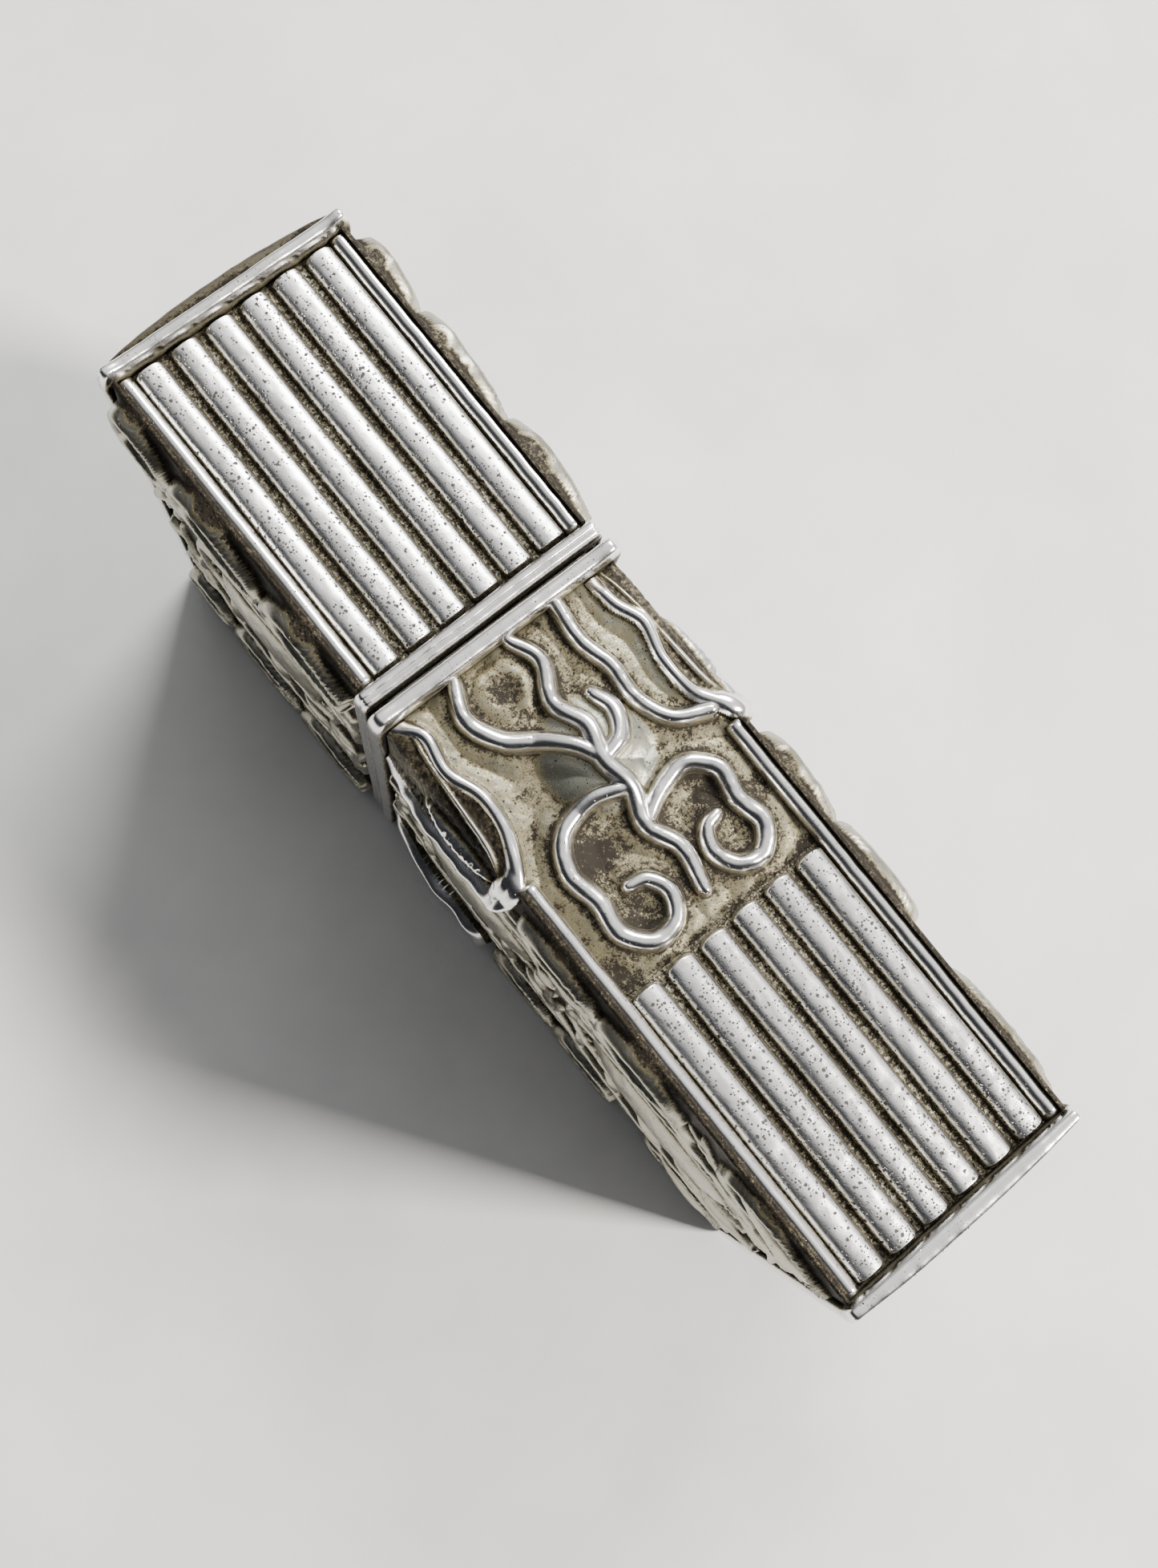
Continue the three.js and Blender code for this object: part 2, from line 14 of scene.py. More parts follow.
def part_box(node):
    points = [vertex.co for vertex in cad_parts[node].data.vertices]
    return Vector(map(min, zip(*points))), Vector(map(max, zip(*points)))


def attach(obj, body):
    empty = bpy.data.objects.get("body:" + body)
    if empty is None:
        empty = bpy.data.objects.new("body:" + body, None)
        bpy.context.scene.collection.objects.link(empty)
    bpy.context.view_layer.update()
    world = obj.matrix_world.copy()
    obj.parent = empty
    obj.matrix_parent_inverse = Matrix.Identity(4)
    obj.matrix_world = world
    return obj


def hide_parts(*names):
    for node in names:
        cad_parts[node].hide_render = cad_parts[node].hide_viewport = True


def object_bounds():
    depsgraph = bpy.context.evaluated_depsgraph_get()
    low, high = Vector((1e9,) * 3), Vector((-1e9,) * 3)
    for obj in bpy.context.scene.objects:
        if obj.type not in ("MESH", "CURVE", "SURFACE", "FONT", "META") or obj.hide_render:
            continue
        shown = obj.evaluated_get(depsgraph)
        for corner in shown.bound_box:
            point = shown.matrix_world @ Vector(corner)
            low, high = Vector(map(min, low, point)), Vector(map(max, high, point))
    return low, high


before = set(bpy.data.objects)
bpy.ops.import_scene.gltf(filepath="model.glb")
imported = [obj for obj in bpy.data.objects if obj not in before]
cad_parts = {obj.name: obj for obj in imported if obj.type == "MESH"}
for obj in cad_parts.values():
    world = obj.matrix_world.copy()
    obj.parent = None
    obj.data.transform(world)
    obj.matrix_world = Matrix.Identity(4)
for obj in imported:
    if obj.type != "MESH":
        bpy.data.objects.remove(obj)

CAD_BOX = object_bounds()
MM = 0.001
AXIS_Z = (CAD_BOX[0].z + CAD_BOX[1].z) / 2 / MM


def span(node, axis):
    """Lowest and highest millimetre of a CAD node along one axis, from the case's own axis."""
    low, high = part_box(node)
    shift = AXIS_Z if axis == 2 else 0.0
    return low[axis] / MM - shift, high[axis] / MM - shift


# ---- places and sizes taken from the frame ----------------------------------------------------

SHEET_X = span("front_panel", 0)[1]  # edge of the narrow sheets
SHEET_LOW_Z = span("lid_front_flutes", 2)[0]
CREST_Z = span("lid_front_flutes", 2)[1]
GAP = 0.05
FLOOR_Z = span("lid_front_right_wire", 2)[0] - GAP  # outer face of the narrow sheets
PLATE_X = span("lid_right_plate", 0)[0]  # inner face of the wide plates
PLATE_THICK = 0.35
WALL_X = PLATE_X + PLATE_THICK  # outer face of the wide plates
EDGE_Z = span("lid_right_plate", 2)[1]  # edge of the wide plates
TAB_Z = FLOOR_Z
END_Y = span("lid_end_rim", 1)[1]
FLUTE_COUNT = 6
FLUTE_HALF = 1.17
WIRE_X = span("lid_front_right_wire", 0)

LID = {
    "body": "lid",
    "mouth": span("lid_right_plate", 1)[0],
    "stop": span("lid_right_plate", 1)[1],
    "trim": span("lid_front_right_wire", 1),
    "flutes": span("lid_front_right_wire", 1),
    "sheet": span("lid_front_flutes", 1),
}
BODY = {
    "body": "case",
    "mouth": span("body_right_plate", 1)[1],
    "stop": span("body_right_plate", 1)[0],
    "trim": (span("body_front_right_wire", 1)[0], span("body_mouth_rim", 1)[0] - 0.1),
    "flutes": (span("body_front_right_wire", 1)[0], span("body_front_flutes", 1)[1]),
    "sheet": span("body_front_flutes", 1),
}
FLUTE_PITCH = 2.86
CORNER_BEND = 0.55
TONGUE_TOP = span("front_left_tongue", 1)[1]
TONGUE_LOW = span("front_left_tongue", 1)[0]


# ---- meshes -----------------------------------------------------------------------------------

def signed_volume(points, quads, polygons):
    """Six times the volume that the faces close; negative if they face inwards."""
    p = points - points.mean(axis=0)
    a, b, c, d = (p[quads[:, k]] for k in range(4))
    total = np.einsum("ij,ij->", a, np.cross(b, c)) + np.einsum("ij,ij->", a, np.cross(c, d))
    for polygon in polygons:
        q = p[np.asarray(polygon)]
        total += np.einsum("ij,ij->", np.broadcast_to(q[0], q[1:-1].shape), np.cross(q[1:-1], q[2:]))
    return total


def add_piece(name, body, points, quads, polygons, material, shades, smooth=None, node=None):
    """A closed mesh from millimetre points that stands for its CAD node; its first quads are smooth."""
    if signed_volume(points, quads, polygons) < 0:
        quads = quads[:, ::-1]
        polygons = [list(p)[::-1] for p in polygons]
    mesh = bpy.data.meshes.new(name)
    corners = np.concatenate([quads.ravel()] + [np.asarray(p) for p in polygons]).astype(np.int32)
    lengths = np.concatenate([np.full(len(quads), 4), [len(p) for p in polygons]]).astype(np.int32)
    starts = np.concatenate([[0], np.cumsum(lengths)[:-1]]).astype(np.int32)
    world = points.copy()
    world[:, 2] += AXIS_Z
    mesh.vertices.add(len(points))
    mesh.vertices.foreach_set("co", (world * MM).astype(np.float32).ravel())
    mesh.loops.add(len(corners))
    mesh.loops.foreach_set("vertex_index", corners)
    mesh.polygons.add(len(lengths))
    mesh.polygons.foreach_set("loop_start", starts)
    rounded = np.zeros(len(lengths), bool)
    rounded[:len(quads) if smooth is None else smooth] = True
    mesh.polygons.foreach_set("use_smooth", rounded)
    mesh.update(calc_edges=True)
    mesh.validate()
    attribute = mesh.attributes.new("cavity", "FLOAT", "POINT")
    attribute.data.foreach_set("value", np.asarray(shades, np.float32).ravel())
    mesh.materials.append(material)
    piece = bpy.data.objects.new(name, mesh)
    bpy.context.scene.collection.objects.link(piece)
    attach(piece, body)
    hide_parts(node or name)


def relief_piece(name, body, u, v, height, place, floor, material, cavity, keep=None):
    """A closed solid whose outer face is a height field over u and v."""
    n, m = height.shape
    grid_u, grid_v = np.meshgrid(u, v, indexing="ij")
    top = place(grid_u, grid_v, height).reshape(-1, 3)
    low = place(grid_u, grid_v, np.full_like(height, floor)).reshape(-1, 3)
    index = np.arange(n * m).reshape(n, m)
    cells = np.stack([index[:-1, :-1], index[1:, :-1], index[1:, 1:], index[:-1, 1:]], -1)
    if keep is None:
        quads = cells.reshape(-1, 4)
        rim = np.concatenate([index[:, 0], index[-1, 1:], index[-2::-1, -1], index[0, -2:0:-1]])
        under = n * m + np.arange(len(rim))
        points = np.concatenate([top, low[rim]])
        walls = np.stack([rim, under, np.roll(under, -1), np.roll(rim, -1)], -1)
        smooth = len(quads)
        quads = np.concatenate([quads, walls])
        shades = np.concatenate([cavity.ravel(), cavity.ravel()[rim]])
        polygons = [list(under[::-1])]
    else:
        quads = cells[keep]
        edges = np.concatenate([quads[:, [k, (k + 1) % 4]] for k in range(4)])
        key = edges[:, 0].astype(np.int64) * (n * m) + edges[:, 1]
        twin = edges[:, 1].astype(np.int64) * (n * m) + edges[:, 0]
        rim = edges[~np.isin(key, twin)]
        walls = np.stack([rim[:, 1], rim[:, 0], rim[:, 0] + n * m, rim[:, 1] + n * m], -1)
        smooth = len(quads)
        quads = np.concatenate([quads, quads[:, ::-1] + n * m, walls])
        used, flat = np.unique(quads.ravel(), return_inverse=True)
        points = np.concatenate([top, low])[used]
        shades = np.concatenate([cavity.ravel()] * 2)[used]
        quads = flat.reshape(-1, 4)
        polygons = []
    add_piece(name, body, points, quads, polygons, material, shades, smooth)


def loft_piece(name, body, rings, material, cavity, closed=False, node=None):
    """A closed solid through rings of points: an array of ring, point in ring, xyz."""
    n, k = rings.shape[:2]
    index = np.arange(n * k).reshape(n, k)
    nxt = np.roll(index, -1, axis=0) if closed else index[1:]
    cur = index if closed else index[:-1]
    quads = np.stack([cur, nxt, np.roll(nxt, -1, axis=1), np.roll(cur, -1, axis=1)], -1).reshape(-1, 4)
    polygons = [] if closed else [list(index[0][::-1]), list(index[-1])]
    shades = np.broadcast_to(cavity, (n, k))
    points = rings.reshape(-1, 3)
    sides = signed_volume(points, quads, [])
    if not closed:
        caps = signed_volume(points, quads, polygons)
        if abs(caps) < abs(sides):
            polygons = [p[::-1] for p in polygons]
    add_piece(name, body, points, quads, polygons, material, shades, node=node)


# ---- curves and height fields -----------------------------------------------------------------

def smooth_path(points, per_span=10):
    """Points on a Catmull-Rom curve through the given points, of any dimension."""
    p = np.asarray(points, float)
    p = np.concatenate([[2 * p[0] - p[1]], p, [2 * p[-1] - p[-2]]])
    out = []
    for i in range(1, len(p) - 2):
        t = np.linspace(0, 1, per_span, endpoint=False)[:, None]
        a, b, c, d = p[i - 1], p[i], p[i + 1], p[i + 2]
        square = (2 * a - 5 * b + 4 * c - d) * t**2
        cube = (3 * b - a - 3 * c + d) * t**3
        out.append(0.5 * (2 * b + (c - a) * t + square + cube))
    out.append(p[-2][None])
    return np.concatenate(out)


class Canvas:
    """A height field in millimetres, drawn on with bars, drops and dots."""

    def __init__(self, u, v, seed):
        self.u, self.v = np.asarray(u, float), np.asarray(v, float)
        self.shape = (len(self.u), len(self.v))
        self.random = np.random.default_rng(seed)
        self.U, self.V = np.meshgrid(self.u, self.v, indexing="ij")

    def window(self, low_u, high_u, low_v, high_v):
        i = slice(*np.searchsorted(self.u, [low_u, high_u]))
        j = slice(*np.searchsorted(self.v, [low_v, high_v]))
        return i, j

    def away(self, points, reach, per_span=10):
        """Distance to a smooth curve, and the share of its length at the nearest point."""
        path = smooth_path(points, per_span)
        steps = np.hypot(*np.diff(path, axis=0).T)
        along = np.concatenate([[0], np.cumsum(steps)]) / steps.sum()
        far = np.full(self.shape, 1e3)
        share = np.zeros(self.shape)
        for k, (a, b) in enumerate(zip(path[:-1], path[1:])):
            low, high = np.minimum(a, b) - reach, np.maximum(a, b) + reach
            i, j = self.window(low[0], high[0], low[1], high[1])
            du, dv = self.u[i, None] - a[0], self.v[None, j] - a[1]
            run = b - a
            t = np.clip((du * run[0] + dv * run[1]) / max(run @ run, 1e-9), 0, 1)
            d = np.hypot(du - t * run[0], dv - t * run[1])
            near = d < far[i, j]
            far[i, j][near] = d[near]
            share[i, j][near] = (along[k] + t * (along[k + 1] - along[k]))[near]
        return far, share

    def bar(self, points, width, height, tip=0.35, root=1.0, per_span=10):
        """A half-round bar that swells from its root to the middle and thins to its tip."""
        far, share = self.away(points, width * 1.5 + 0.3, per_span)
        body = np.sin(np.pi * np.clip(share, 0, 1)) ** 0.5
        ends = np.where(share < 0.5, root, tip)
        scale = ends + (1 - ends) * body
        bump = np.sqrt(np.clip(1 - (far / (width * scale)) ** 2, 0, None)) * height * (0.4 + 0.6 * scale)
        return bump

    def drop(self, u, v, half_u, half_v, height, turn=0.0, point=0.0, power=0.5):
        """A smooth boss; point pulls its +u end into a tip."""
        c, s = math.cos(turn), math.sin(turn)
        a = ((self.U - u) * c + (self.V - v) * s) / half_u
        b = (-(self.U - u) * s + (self.V - v) * c) / half_v
        taper = 1 - point * step(a, -0.9, 1.25)
        inside = 1 - a**2 - (b / taper) ** 2
        return height * np.clip(inside, 0, None) ** power

    def warped(self, field, amount, length, seed):
        """The field pulled about by smooth random shifts, as hand work is never quite regular."""
        du = amount * wobble(self.U, self.V, length, seed)
        dv = amount * wobble(self.U, self.V, length, seed + 1)
        i = np.interp(self.U + du, self.u, np.arange(len(self.u)))
        j = np.interp(self.V + dv, self.v, np.arange(len(self.v)))
        i0 = np.minimum(i.astype(int), len(self.u) - 2)
        j0 = np.minimum(j.astype(int), len(self.v) - 2)
        fi, fj = i - i0, j - j0
        low = field[i0, j0] * (1 - fj) + field[i0, j0 + 1] * fj
        high = field[i0 + 1, j0] * (1 - fj) + field[i0 + 1, j0 + 1] * fj
        return low * (1 - fi) + high * fi

    def dots(self, spacing, radius, depth, where):
        """Punch marks: a jittered grid of small pits, where the mask is true."""
        pits = np.zeros(self.shape)
        cells_u = np.arange(self.u[0], self.u[-1], spacing)
        cells_v = np.arange(self.v[0], self.v[-1], spacing)
        for a in cells_u:
            for b in cells_v:
                du, dv, size = self.random.random(3)
                cu, cv = a + du * spacing, b + dv * spacing
                i, j = self.window(cu - radius, cu + radius, cv - radius, cv + radius)
                d = np.hypot(self.u[i, None] - cu, self.v[None, j] - cv) / radius
                mark = depth * (0.5 + 0.5 * size) * np.clip(1 - d**2, 0, None)
                pits[i, j] = np.maximum(pits[i, j], mark)
        return pits * where


def wobble(u, v, length, seed, waves=9):
    """Smooth random variation between about -1 and 1, with features of the given length."""
    random = np.random.default_rng(seed)
    total = np.zeros(np.broadcast(u, v).shape)
    for _ in range(waves):
        turn, phase, stretch = random.random(3) * (2 * np.pi, 2 * np.pi, 0.8) + (0, 0, 0.6)
        rate = 2 * np.pi / (length * stretch)
        total += np.sin(rate * (u * math.cos(turn) + v * math.sin(turn)) + phase)
    return total / waves**0.5 / 1.4


def blur(field, cells):
    """Three box blurs of the given half width, which together are nearly Gaussian."""
    out = field
    for axis in (0, 1):
        for _ in range(3):
            pad = [(0, 0), (0, 0)]
            pad[axis] = (cells + 1, cells)
            total = np.cumsum(np.pad(out, pad, mode="edge"), axis=axis)
            size = out.shape[axis]
            ahead = np.take(total, np.arange(2 * cells + 1, 2 * cells + 1 + size), axis=axis)
            behind = np.take(total, np.arange(0, size), axis=axis)
            out = (ahead - behind) / (2 * cells + 1)
    return out


def smooth_max(a, b, softness):
    """The larger of two height fields, with a fillet where they meet."""
    return 0.5 * (a + b + np.sqrt((a - b) ** 2 + softness**2))


def highest(shapes):
    """The highest of several height fields at each point."""
    return np.maximum.reduce(shapes)


def step(x, low, high):
    """Smooth step from 0 at low to 1 at high."""
    t = np.clip((x - low) / (high - low), 0, 1)
    return t * t * (3 - 2 * t)


def hollows(height, spacing, reach=0.45, gain=1.5):
    """How sheltered each point is: 0 on crests, about 0.4 on open ground, 1 in crevices."""
    cells = max(1, round(reach / spacing))
    sheltered = blur(height, cells) - height
    wide = blur(height, cells * 3) - height
    return np.clip(0.38 + gain * sheltered + 0.35 * gain * wide, 0, 1)


# ---- materials --------------------------------------------------------------------------------

class Value:
    """An output of a node, which can be added to, taken from and multiplied by others."""

    def __init__(self, nodes, socket):
        self.nodes = nodes
        self.socket = socket

    def __add__(self, other):
        return self.nodes.math("ADD", self, other)

    def __sub__(self, other):
        return self.nodes.math("SUBTRACT", self, other)

    def __mul__(self, other):
        return self.nodes.math("MULTIPLY", self, other)

    def beside(self, name):
        """Another output of the same node."""
        return Value(self.nodes, self.socket.node.outputs[name])


class Nodes:
    """Short forms for building a node material, with points in millimetres."""

    def __init__(self, name):
        self.material = bpy.data.materials.new(name)
        self.material.use_nodes = True
        self.tree = self.material.node_tree
        self.shader = self.tree.nodes["Principled BSDF"]
        self.point = self.vector("MULTIPLY", self.add("TexCoord", {}, "Object"), (1 / MM,) * 3)

    def feed(self, node, inputs):
        """Link or set a node's inputs."""
        for key, value in inputs.items():
            value = getattr(value, "socket", value)
            if isinstance(value, bpy.types.NodeSocket):
                self.tree.links.new(value, node.inputs[key])
            else:
                node.inputs[key].default_value = value

    def add(self, kind, inputs, output=0, **settings):
        """A new node with its settings and inputs; gives one of its outputs."""
        node = self.tree.nodes.new("ShaderNode" + kind)
        for name, setting in settings.items():
            setattr(node, name, setting)
        self.feed(node, inputs)
        return Value(self, node.outputs[output])

    def shade(self, **inputs):
        """Feed the surface's inputs, with _ for each space in their names."""
        self.feed(self.shader, {name.replace("_", " "): value for name, value in inputs.items()})

    def vector(self, operation, a, b):
        return self.add("VectorMath", {0: a, 1: b}, operation=operation)

    def math(self, operation, a, b, clamp=False):
        return self.add("Math", {0: a, 1: b}, operation=operation, use_clamp=clamp)

    def noise(self, scale, detail=3.0, rough=0.55, stretch=(1, 1, 1)):
        place = self.vector("MULTIPLY", self.point, stretch)
        inputs = {"Vector": place, "Scale": scale, "Detail": detail, "Roughness": rough}
        return self.add("TexNoise", inputs, "Fac")

    def cells(self, scale):
        return self.add("TexVoronoi", {"Vector": self.point, "Scale": scale}, "Distance")

    def ramp(self, value, stops):
        colour = self.add("ValToRGB", {"Fac": value}, "Color")
        points = colour.socket.node.color_ramp.elements
        while len(points) < len(stops):
            points.new(0.5)
        for point, (at, tone) in zip(points, stops):
            point.position = at
            point.color = (*tone, 1) if isinstance(tone, tuple) else (tone, tone, tone, 1)
        return colour

    def mix(self, share, a, b):
        a, b = ((*c, 1) if isinstance(c, tuple) else c for c in (a, b))
        return self.add("Mix", {0: share, 6: a, 7: b}, 2, data_type="RGBA")

    def bump(self, height, strength, distance, normal=None):
        inputs = {"Strength": strength, "Distance": distance * MM, "Height": height}
        if normal is not None:
            inputs["Normal"] = normal
        return self.add("Bump", inputs, "Normal")


def small_pits(nodes, scale, size, crowd):
    """Scattered pits, in patches: 1 in a pit and 0 between."""
    cell = nodes.cells(scale)
    chance = cell.beside("Color") + crowd * 0.9
    own = nodes.ramp(chance * 0.5, [(0.49, 0.0), (0.57, 0.5)]) * (2.0 * size)
    ragged = (nodes.noise(scale * 3, 2) - 0.5) * 0.35
    return nodes.math("LESS_THAN", cell + ragged, own)


def silver(name, bright, dirt_and_shade, rough=0.24, pits=0.5, grain=1.0, tan=0.5, punched=0.0, tooth=1.0,
           metal=1.0, mottle=1.0, gritty=1.0, deep=1.0, specks=0.0):
    """Old silver: bright where it is rubbed, then tan, brown and black as it gets sheltered.

    The second argument scales the soil: real patina, and painted shade as well on the embossed wide
    plates, where it is set higher. pits set their size, grain the dents and tooth the fine roughness.
    tan and deep set the half-soiled colour's warmth and depth, mottle and gritty the soil's
    unevenness, and punched and specks add punch marks and dark crumbs in the hollows.
    """
    nodes = Nodes(name)
    cavity = nodes.add("Attribute", {}, "Fac", attribute_name="cavity")
    broad, fine, speck = nodes.noise(0.22, 4, 0.6), nodes.noise(2.4, 5, 0.7), nodes.noise(8.0, 3, 0.75)
    stir = (broad - 0.5) * 0.5 + (fine - 0.5) * 0.75 + (speck - 0.5) * (0.65 * gritty)
    soil = cavity + stir * mottle * (cavity * 1.1 + 0.22)
    if punched:
        mark = nodes.ramp(nodes.cells(2.6), [(0.10, 1.0), (0.42, 0.0)])
        mark = mark * nodes.ramp(cavity, [(0.32, 0.0), (0.50, 1.0)])
        soil = soil + mark * (0.22 * punched)
    if specks:
        grit = nodes.ramp(nodes.noise(3.1, 4, 0.75), [(0.50, 0.0), (0.60, 1.0)])
        soil = soil + grit * nodes.ramp(cavity, [(0.36, 0.0), (0.58, 1.0)]) * specks
    # The soil scale darkens towards patina; on the embossed plates it is set high and also paints shade.
    soil = nodes.math("MULTIPLY", soil, dirt_and_shade, clamp=True)
    pale = tuple(c * 0.80 for c in bright)
    mixed = zip((0.28, 0.265, 0.22), (0.345, 0.30, 0.165))
    gold = tuple(deep * (grey * (1 - tan) + warm * tan) for grey, warm in mixed)
    brown, black, pit_black = (0.088, 0.074, 0.046), (0.020, 0.017, 0.013), (0.018, 0.015, 0.012)
    tones = [(0.0, bright), (0.26, pale), (0.44, gold), (0.62, brown), (0.80, black)]
    crowd = nodes.noise(0.16, 2, 0.5)
    large, small = small_pits(nodes, 2.3, 0.24 * pits, crowd), small_pits(nodes, 4.7, 0.30 * pits, crowd)
    pit = nodes.math("MAXIMUM", large, small)
    dull = nodes.math("MAXIMUM", soil, pit * 0.8)
    smear = nodes.noise(1.1, 4, 0.6, (1, 0.25, 1))
    scratch = nodes.noise(5.5, 4, 0.7, (1, 0.12, 1))
    normal = nodes.bump(nodes.noise(0.8, 2, 0.5), 0.35 * grain, 0.05)
    normal = nodes.bump(scratch, 0.30 * grain, 0.014, normal)
    normal = nodes.bump(nodes.noise(8.5, 4, 0.7), 0.80, 0.020 * tooth, normal)
    normal = nodes.bump(pit * -1.0, 0.7, 0.03, normal)
    if punched:
        normal = nodes.bump(mark * -1.0, 0.8 * punched, 0.07, normal)
    nodes.shade(
        Base_Color=nodes.mix(pit * 0.95, nodes.ramp(soil, tones), pit_black),
        Metallic=nodes.ramp(dull, [(0.30, metal), (0.75, 0.30 * metal)]),
        Specular_IOR_Level=nodes.ramp(dull, [(0.45, 0.50), (0.80, 0.08)]),
        Roughness=nodes.ramp(dull, [(0.15, rough), (0.70, rough + 0.30)]) + (smear - 0.5) * 0.20,
        Normal=normal,
    )
    return nodes.material


def parchment_material():
    """Blank vellum: cream, mottled, with fine fibres and browner edges."""
    nodes = Nodes("parchment")
    cavity = nodes.add("Attribute", {}, "Fac", attribute_name="cavity")
    mottle = nodes.noise(0.35, 5, 0.6)
    fibre = nodes.noise(3.0, 4, 0.7, (1, 0.2, 1))
    stops = [(0.3, (0.60, 0.47, 0.29)), (0.5, (0.76, 0.65, 0.45)), (0.7, (0.84, 0.76, 0.58))]
    cream = nodes.ramp(mottle * 0.6 + fibre * 0.4, stops)
    nodes.shade(
        Base_Color=nodes.mix(cavity, cream, (0.36, 0.25, 0.13)),
        Roughness=0.62,
        Subsurface_Weight=0.15,
        Subsurface_Scale=0.4 * MM,
        Normal=nodes.bump(nodes.noise(1.2, 3), 0.4, 0.08, nodes.bump(fibre, 0.35, 0.04)),
    )
    return nodes.material


def linen_material():
    """Undyed linen thread."""
    nodes = Nodes("linen")
    strand = nodes.noise(7.0, 4, 0.7, (1, 0.3, 1))
    colour = nodes.ramp(strand, [(0.3, (0.33, 0.25, 0.15)), (0.7, (0.66, 0.57, 0.41))])
    nodes.shade(Base_Color=colour, Roughness=0.85, Normal=nodes.bump(strand, 0.6, 0.05))
    return nodes.material


def stone_floor_material():
    """Plain pale stone, very faintly mottled."""
    nodes = Nodes("floor")
    cloud = nodes.noise(0.035, 4, 0.6)
    colour = nodes.ramp(cloud, [(0.3, (0.55, 0.55, 0.55)), (0.7, (0.68, 0.68, 0.67))])
    nodes.shade(Base_Color=colour, Roughness=0.75)
    return nodes.material


FLUTED = silver("silver_fluted", (0.98, 0.965, 0.94), 1.0, rough=0.24, pits=1.25, grain=0.8, tooth=1.2,
                mottle=1.2, gritty=1.8, deep=0.9, specks=0.42)
RIM = silver("silver_rim", (0.96, 0.945, 0.92), 1.0, rough=0.20, pits=0.6, grain=0.35, tooth=0.35)
RAISED = silver("silver_raised", (0.95, 0.935, 0.91), 1.0, rough=0.19, pits=0.5, grain=0.5, tan=0.8,
                tooth=0.35)
GROUND = silver("silver_ground", (0.25, 0.25, 0.205), 1.0, rough=0.24, pits=0.8, tan=0.9, tooth=1.3,
                metal=0.9, mottle=1.8, gritty=1.5, deep=0.60, specks=0.40)
# The embossed wide plates get a darker silver and a heavier soil than the rest: partly their own patina,
# partly painted shade, drawn as if the wide sides lay in shadow.
EMBOSSED = silver("silver_embossed", (0.47, 0.45, 0.37), 1.4, rough=0.28, pits=0.5, grain=0.7, tan=0.85,
                  punched=0.8, tooth=0.8, gritty=1.6, deep=0.58)
PLAIN = silver("silver_plain", (0.58, 0.56, 0.52), 0.95, rough=0.28, pits=0.6, tan=0.6, tooth=0.6)
END = silver("silver_end", (0.17, 0.155, 0.13), 1.05, rough=0.34, pits=0.7, tan=0.4, mottle=1.3,
             deep=0.45)
PARCHMENT = parchment_material()
LINEN = linen_material()


# ---- places on the case -----------------------------------------------------------------------

def narrow_place(turned):
    """Front of the case, or the back, which is the front turned half round the long axis."""
    sign = -1.0 if turned else 1.0
    return lambda x, y, height: np.stack([sign * x, y, sign * height], -1)


def wide_place(turned, outline):
    """Right side of the case, or the left; outline squeezes z where a rim holds the plate's tab."""
    sign = -1.0 if turned else 1.0
    return lambda y, z, height: np.stack([sign * height, y, sign * z * outline(y)], -1)


SIDES = ({"name": "front", "turned": False, "left": "left", "right": "right"},
         {"name": "back", "turned": True, "left": "right", "right": "left"})


def part_name(part):
    return "lid" if part is LID else "body"


# ---- narrow sides -----------------------------------------------------------------------------

FLUTE_SHORT = 0.03  # how far a flute stops short of its rim


def flute_rows(part):
    """Sheet positions along y, closer together where the flutes end."""
    low, high = part["sheet"]
    flute_low, flute_high = part["flutes"]
    rows = [np.arange(low, high, 0.22), [high]]
    for end in (flute_low, flute_high):
        rows.append(np.arange(end - 1.0, end + 1.0, 0.06))
    rows = np.unique(np.round(np.clip(np.concatenate(rows), low, high), 4))
    return rows[np.concatenate([[True], np.diff(rows) > 0.02])]


def build_flutes(part, side, seed):
    """The sheet with its row of rounded flutes, each slightly its own shape."""
    x = np.linspace(-SHEET_X, SHEET_X, 340)
    y = flute_rows(part)
    X, Y = np.meshgrid(x, y, indexing="ij")
    low, high = part["flutes"]
    height = np.full(X.shape, FLOOR_Z) + 0.02 * wobble(X, Y, 1.6, seed)
    rise = CREST_Z - FLOOR_Z
    cavity = np.full(X.shape, 0.58)
    random = np.random.default_rng(seed)
    for i in range(FLUTE_COUNT):
        centre = (i - (FLUTE_COUNT - 1) / 2) * FLUTE_PITCH
        half = FLUTE_HALF * (1 + 0.025 * random.standard_normal())
        top = rise * (1 + 0.02 * random.standard_normal())
        drift = 0.04 * wobble(0 * Y, Y, 17, seed + 10 * i + 1)
        dent = 0.022 * wobble(X, Y, 4.5, seed + 10 * i + 2) + 0.014 * wobble(X, Y, 1.3, seed + 10 * i + 3)
        off = np.abs(X - centre - drift) / half
        round_top = np.clip(1 - off**2.5, 0, None) ** 0.46
        arch = 0.09 * random.random(2)[:, None, None] + FLUTE_SHORT
        bow = 0.30 * off**2 if part is BODY else 0.08 * off**4
        blunt = step(high - bow - arch[0] - Y, 0.0, 0.24)
        blunt = blunt * step(Y - low - 0.08 * off**4 - arch[1], 0.0, 0.24)
        rib = (top + dent) * round_top * blunt
        height = np.maximum(height, FLOOR_Z + rib)
        crest = np.clip(1.0 - off, 0, 1) * blunt
        cavity = np.minimum(cavity, 0.70 - 3.4 * crest)
        foot = np.exp(-(((off - 1.03) * half) / 0.09) ** 2) * (Y > low) * (Y < high)
        cavity = np.maximum(cavity, 0.98 * foot)
    name = f"{part_name(part)}_{side['name']}_flutes"
    relief_piece(name, part["body"], x, y, height, narrow_place(side["turned"]), SHEET_LOW_Z, FLUTED,
                 np.clip(cavity, 0, 1))


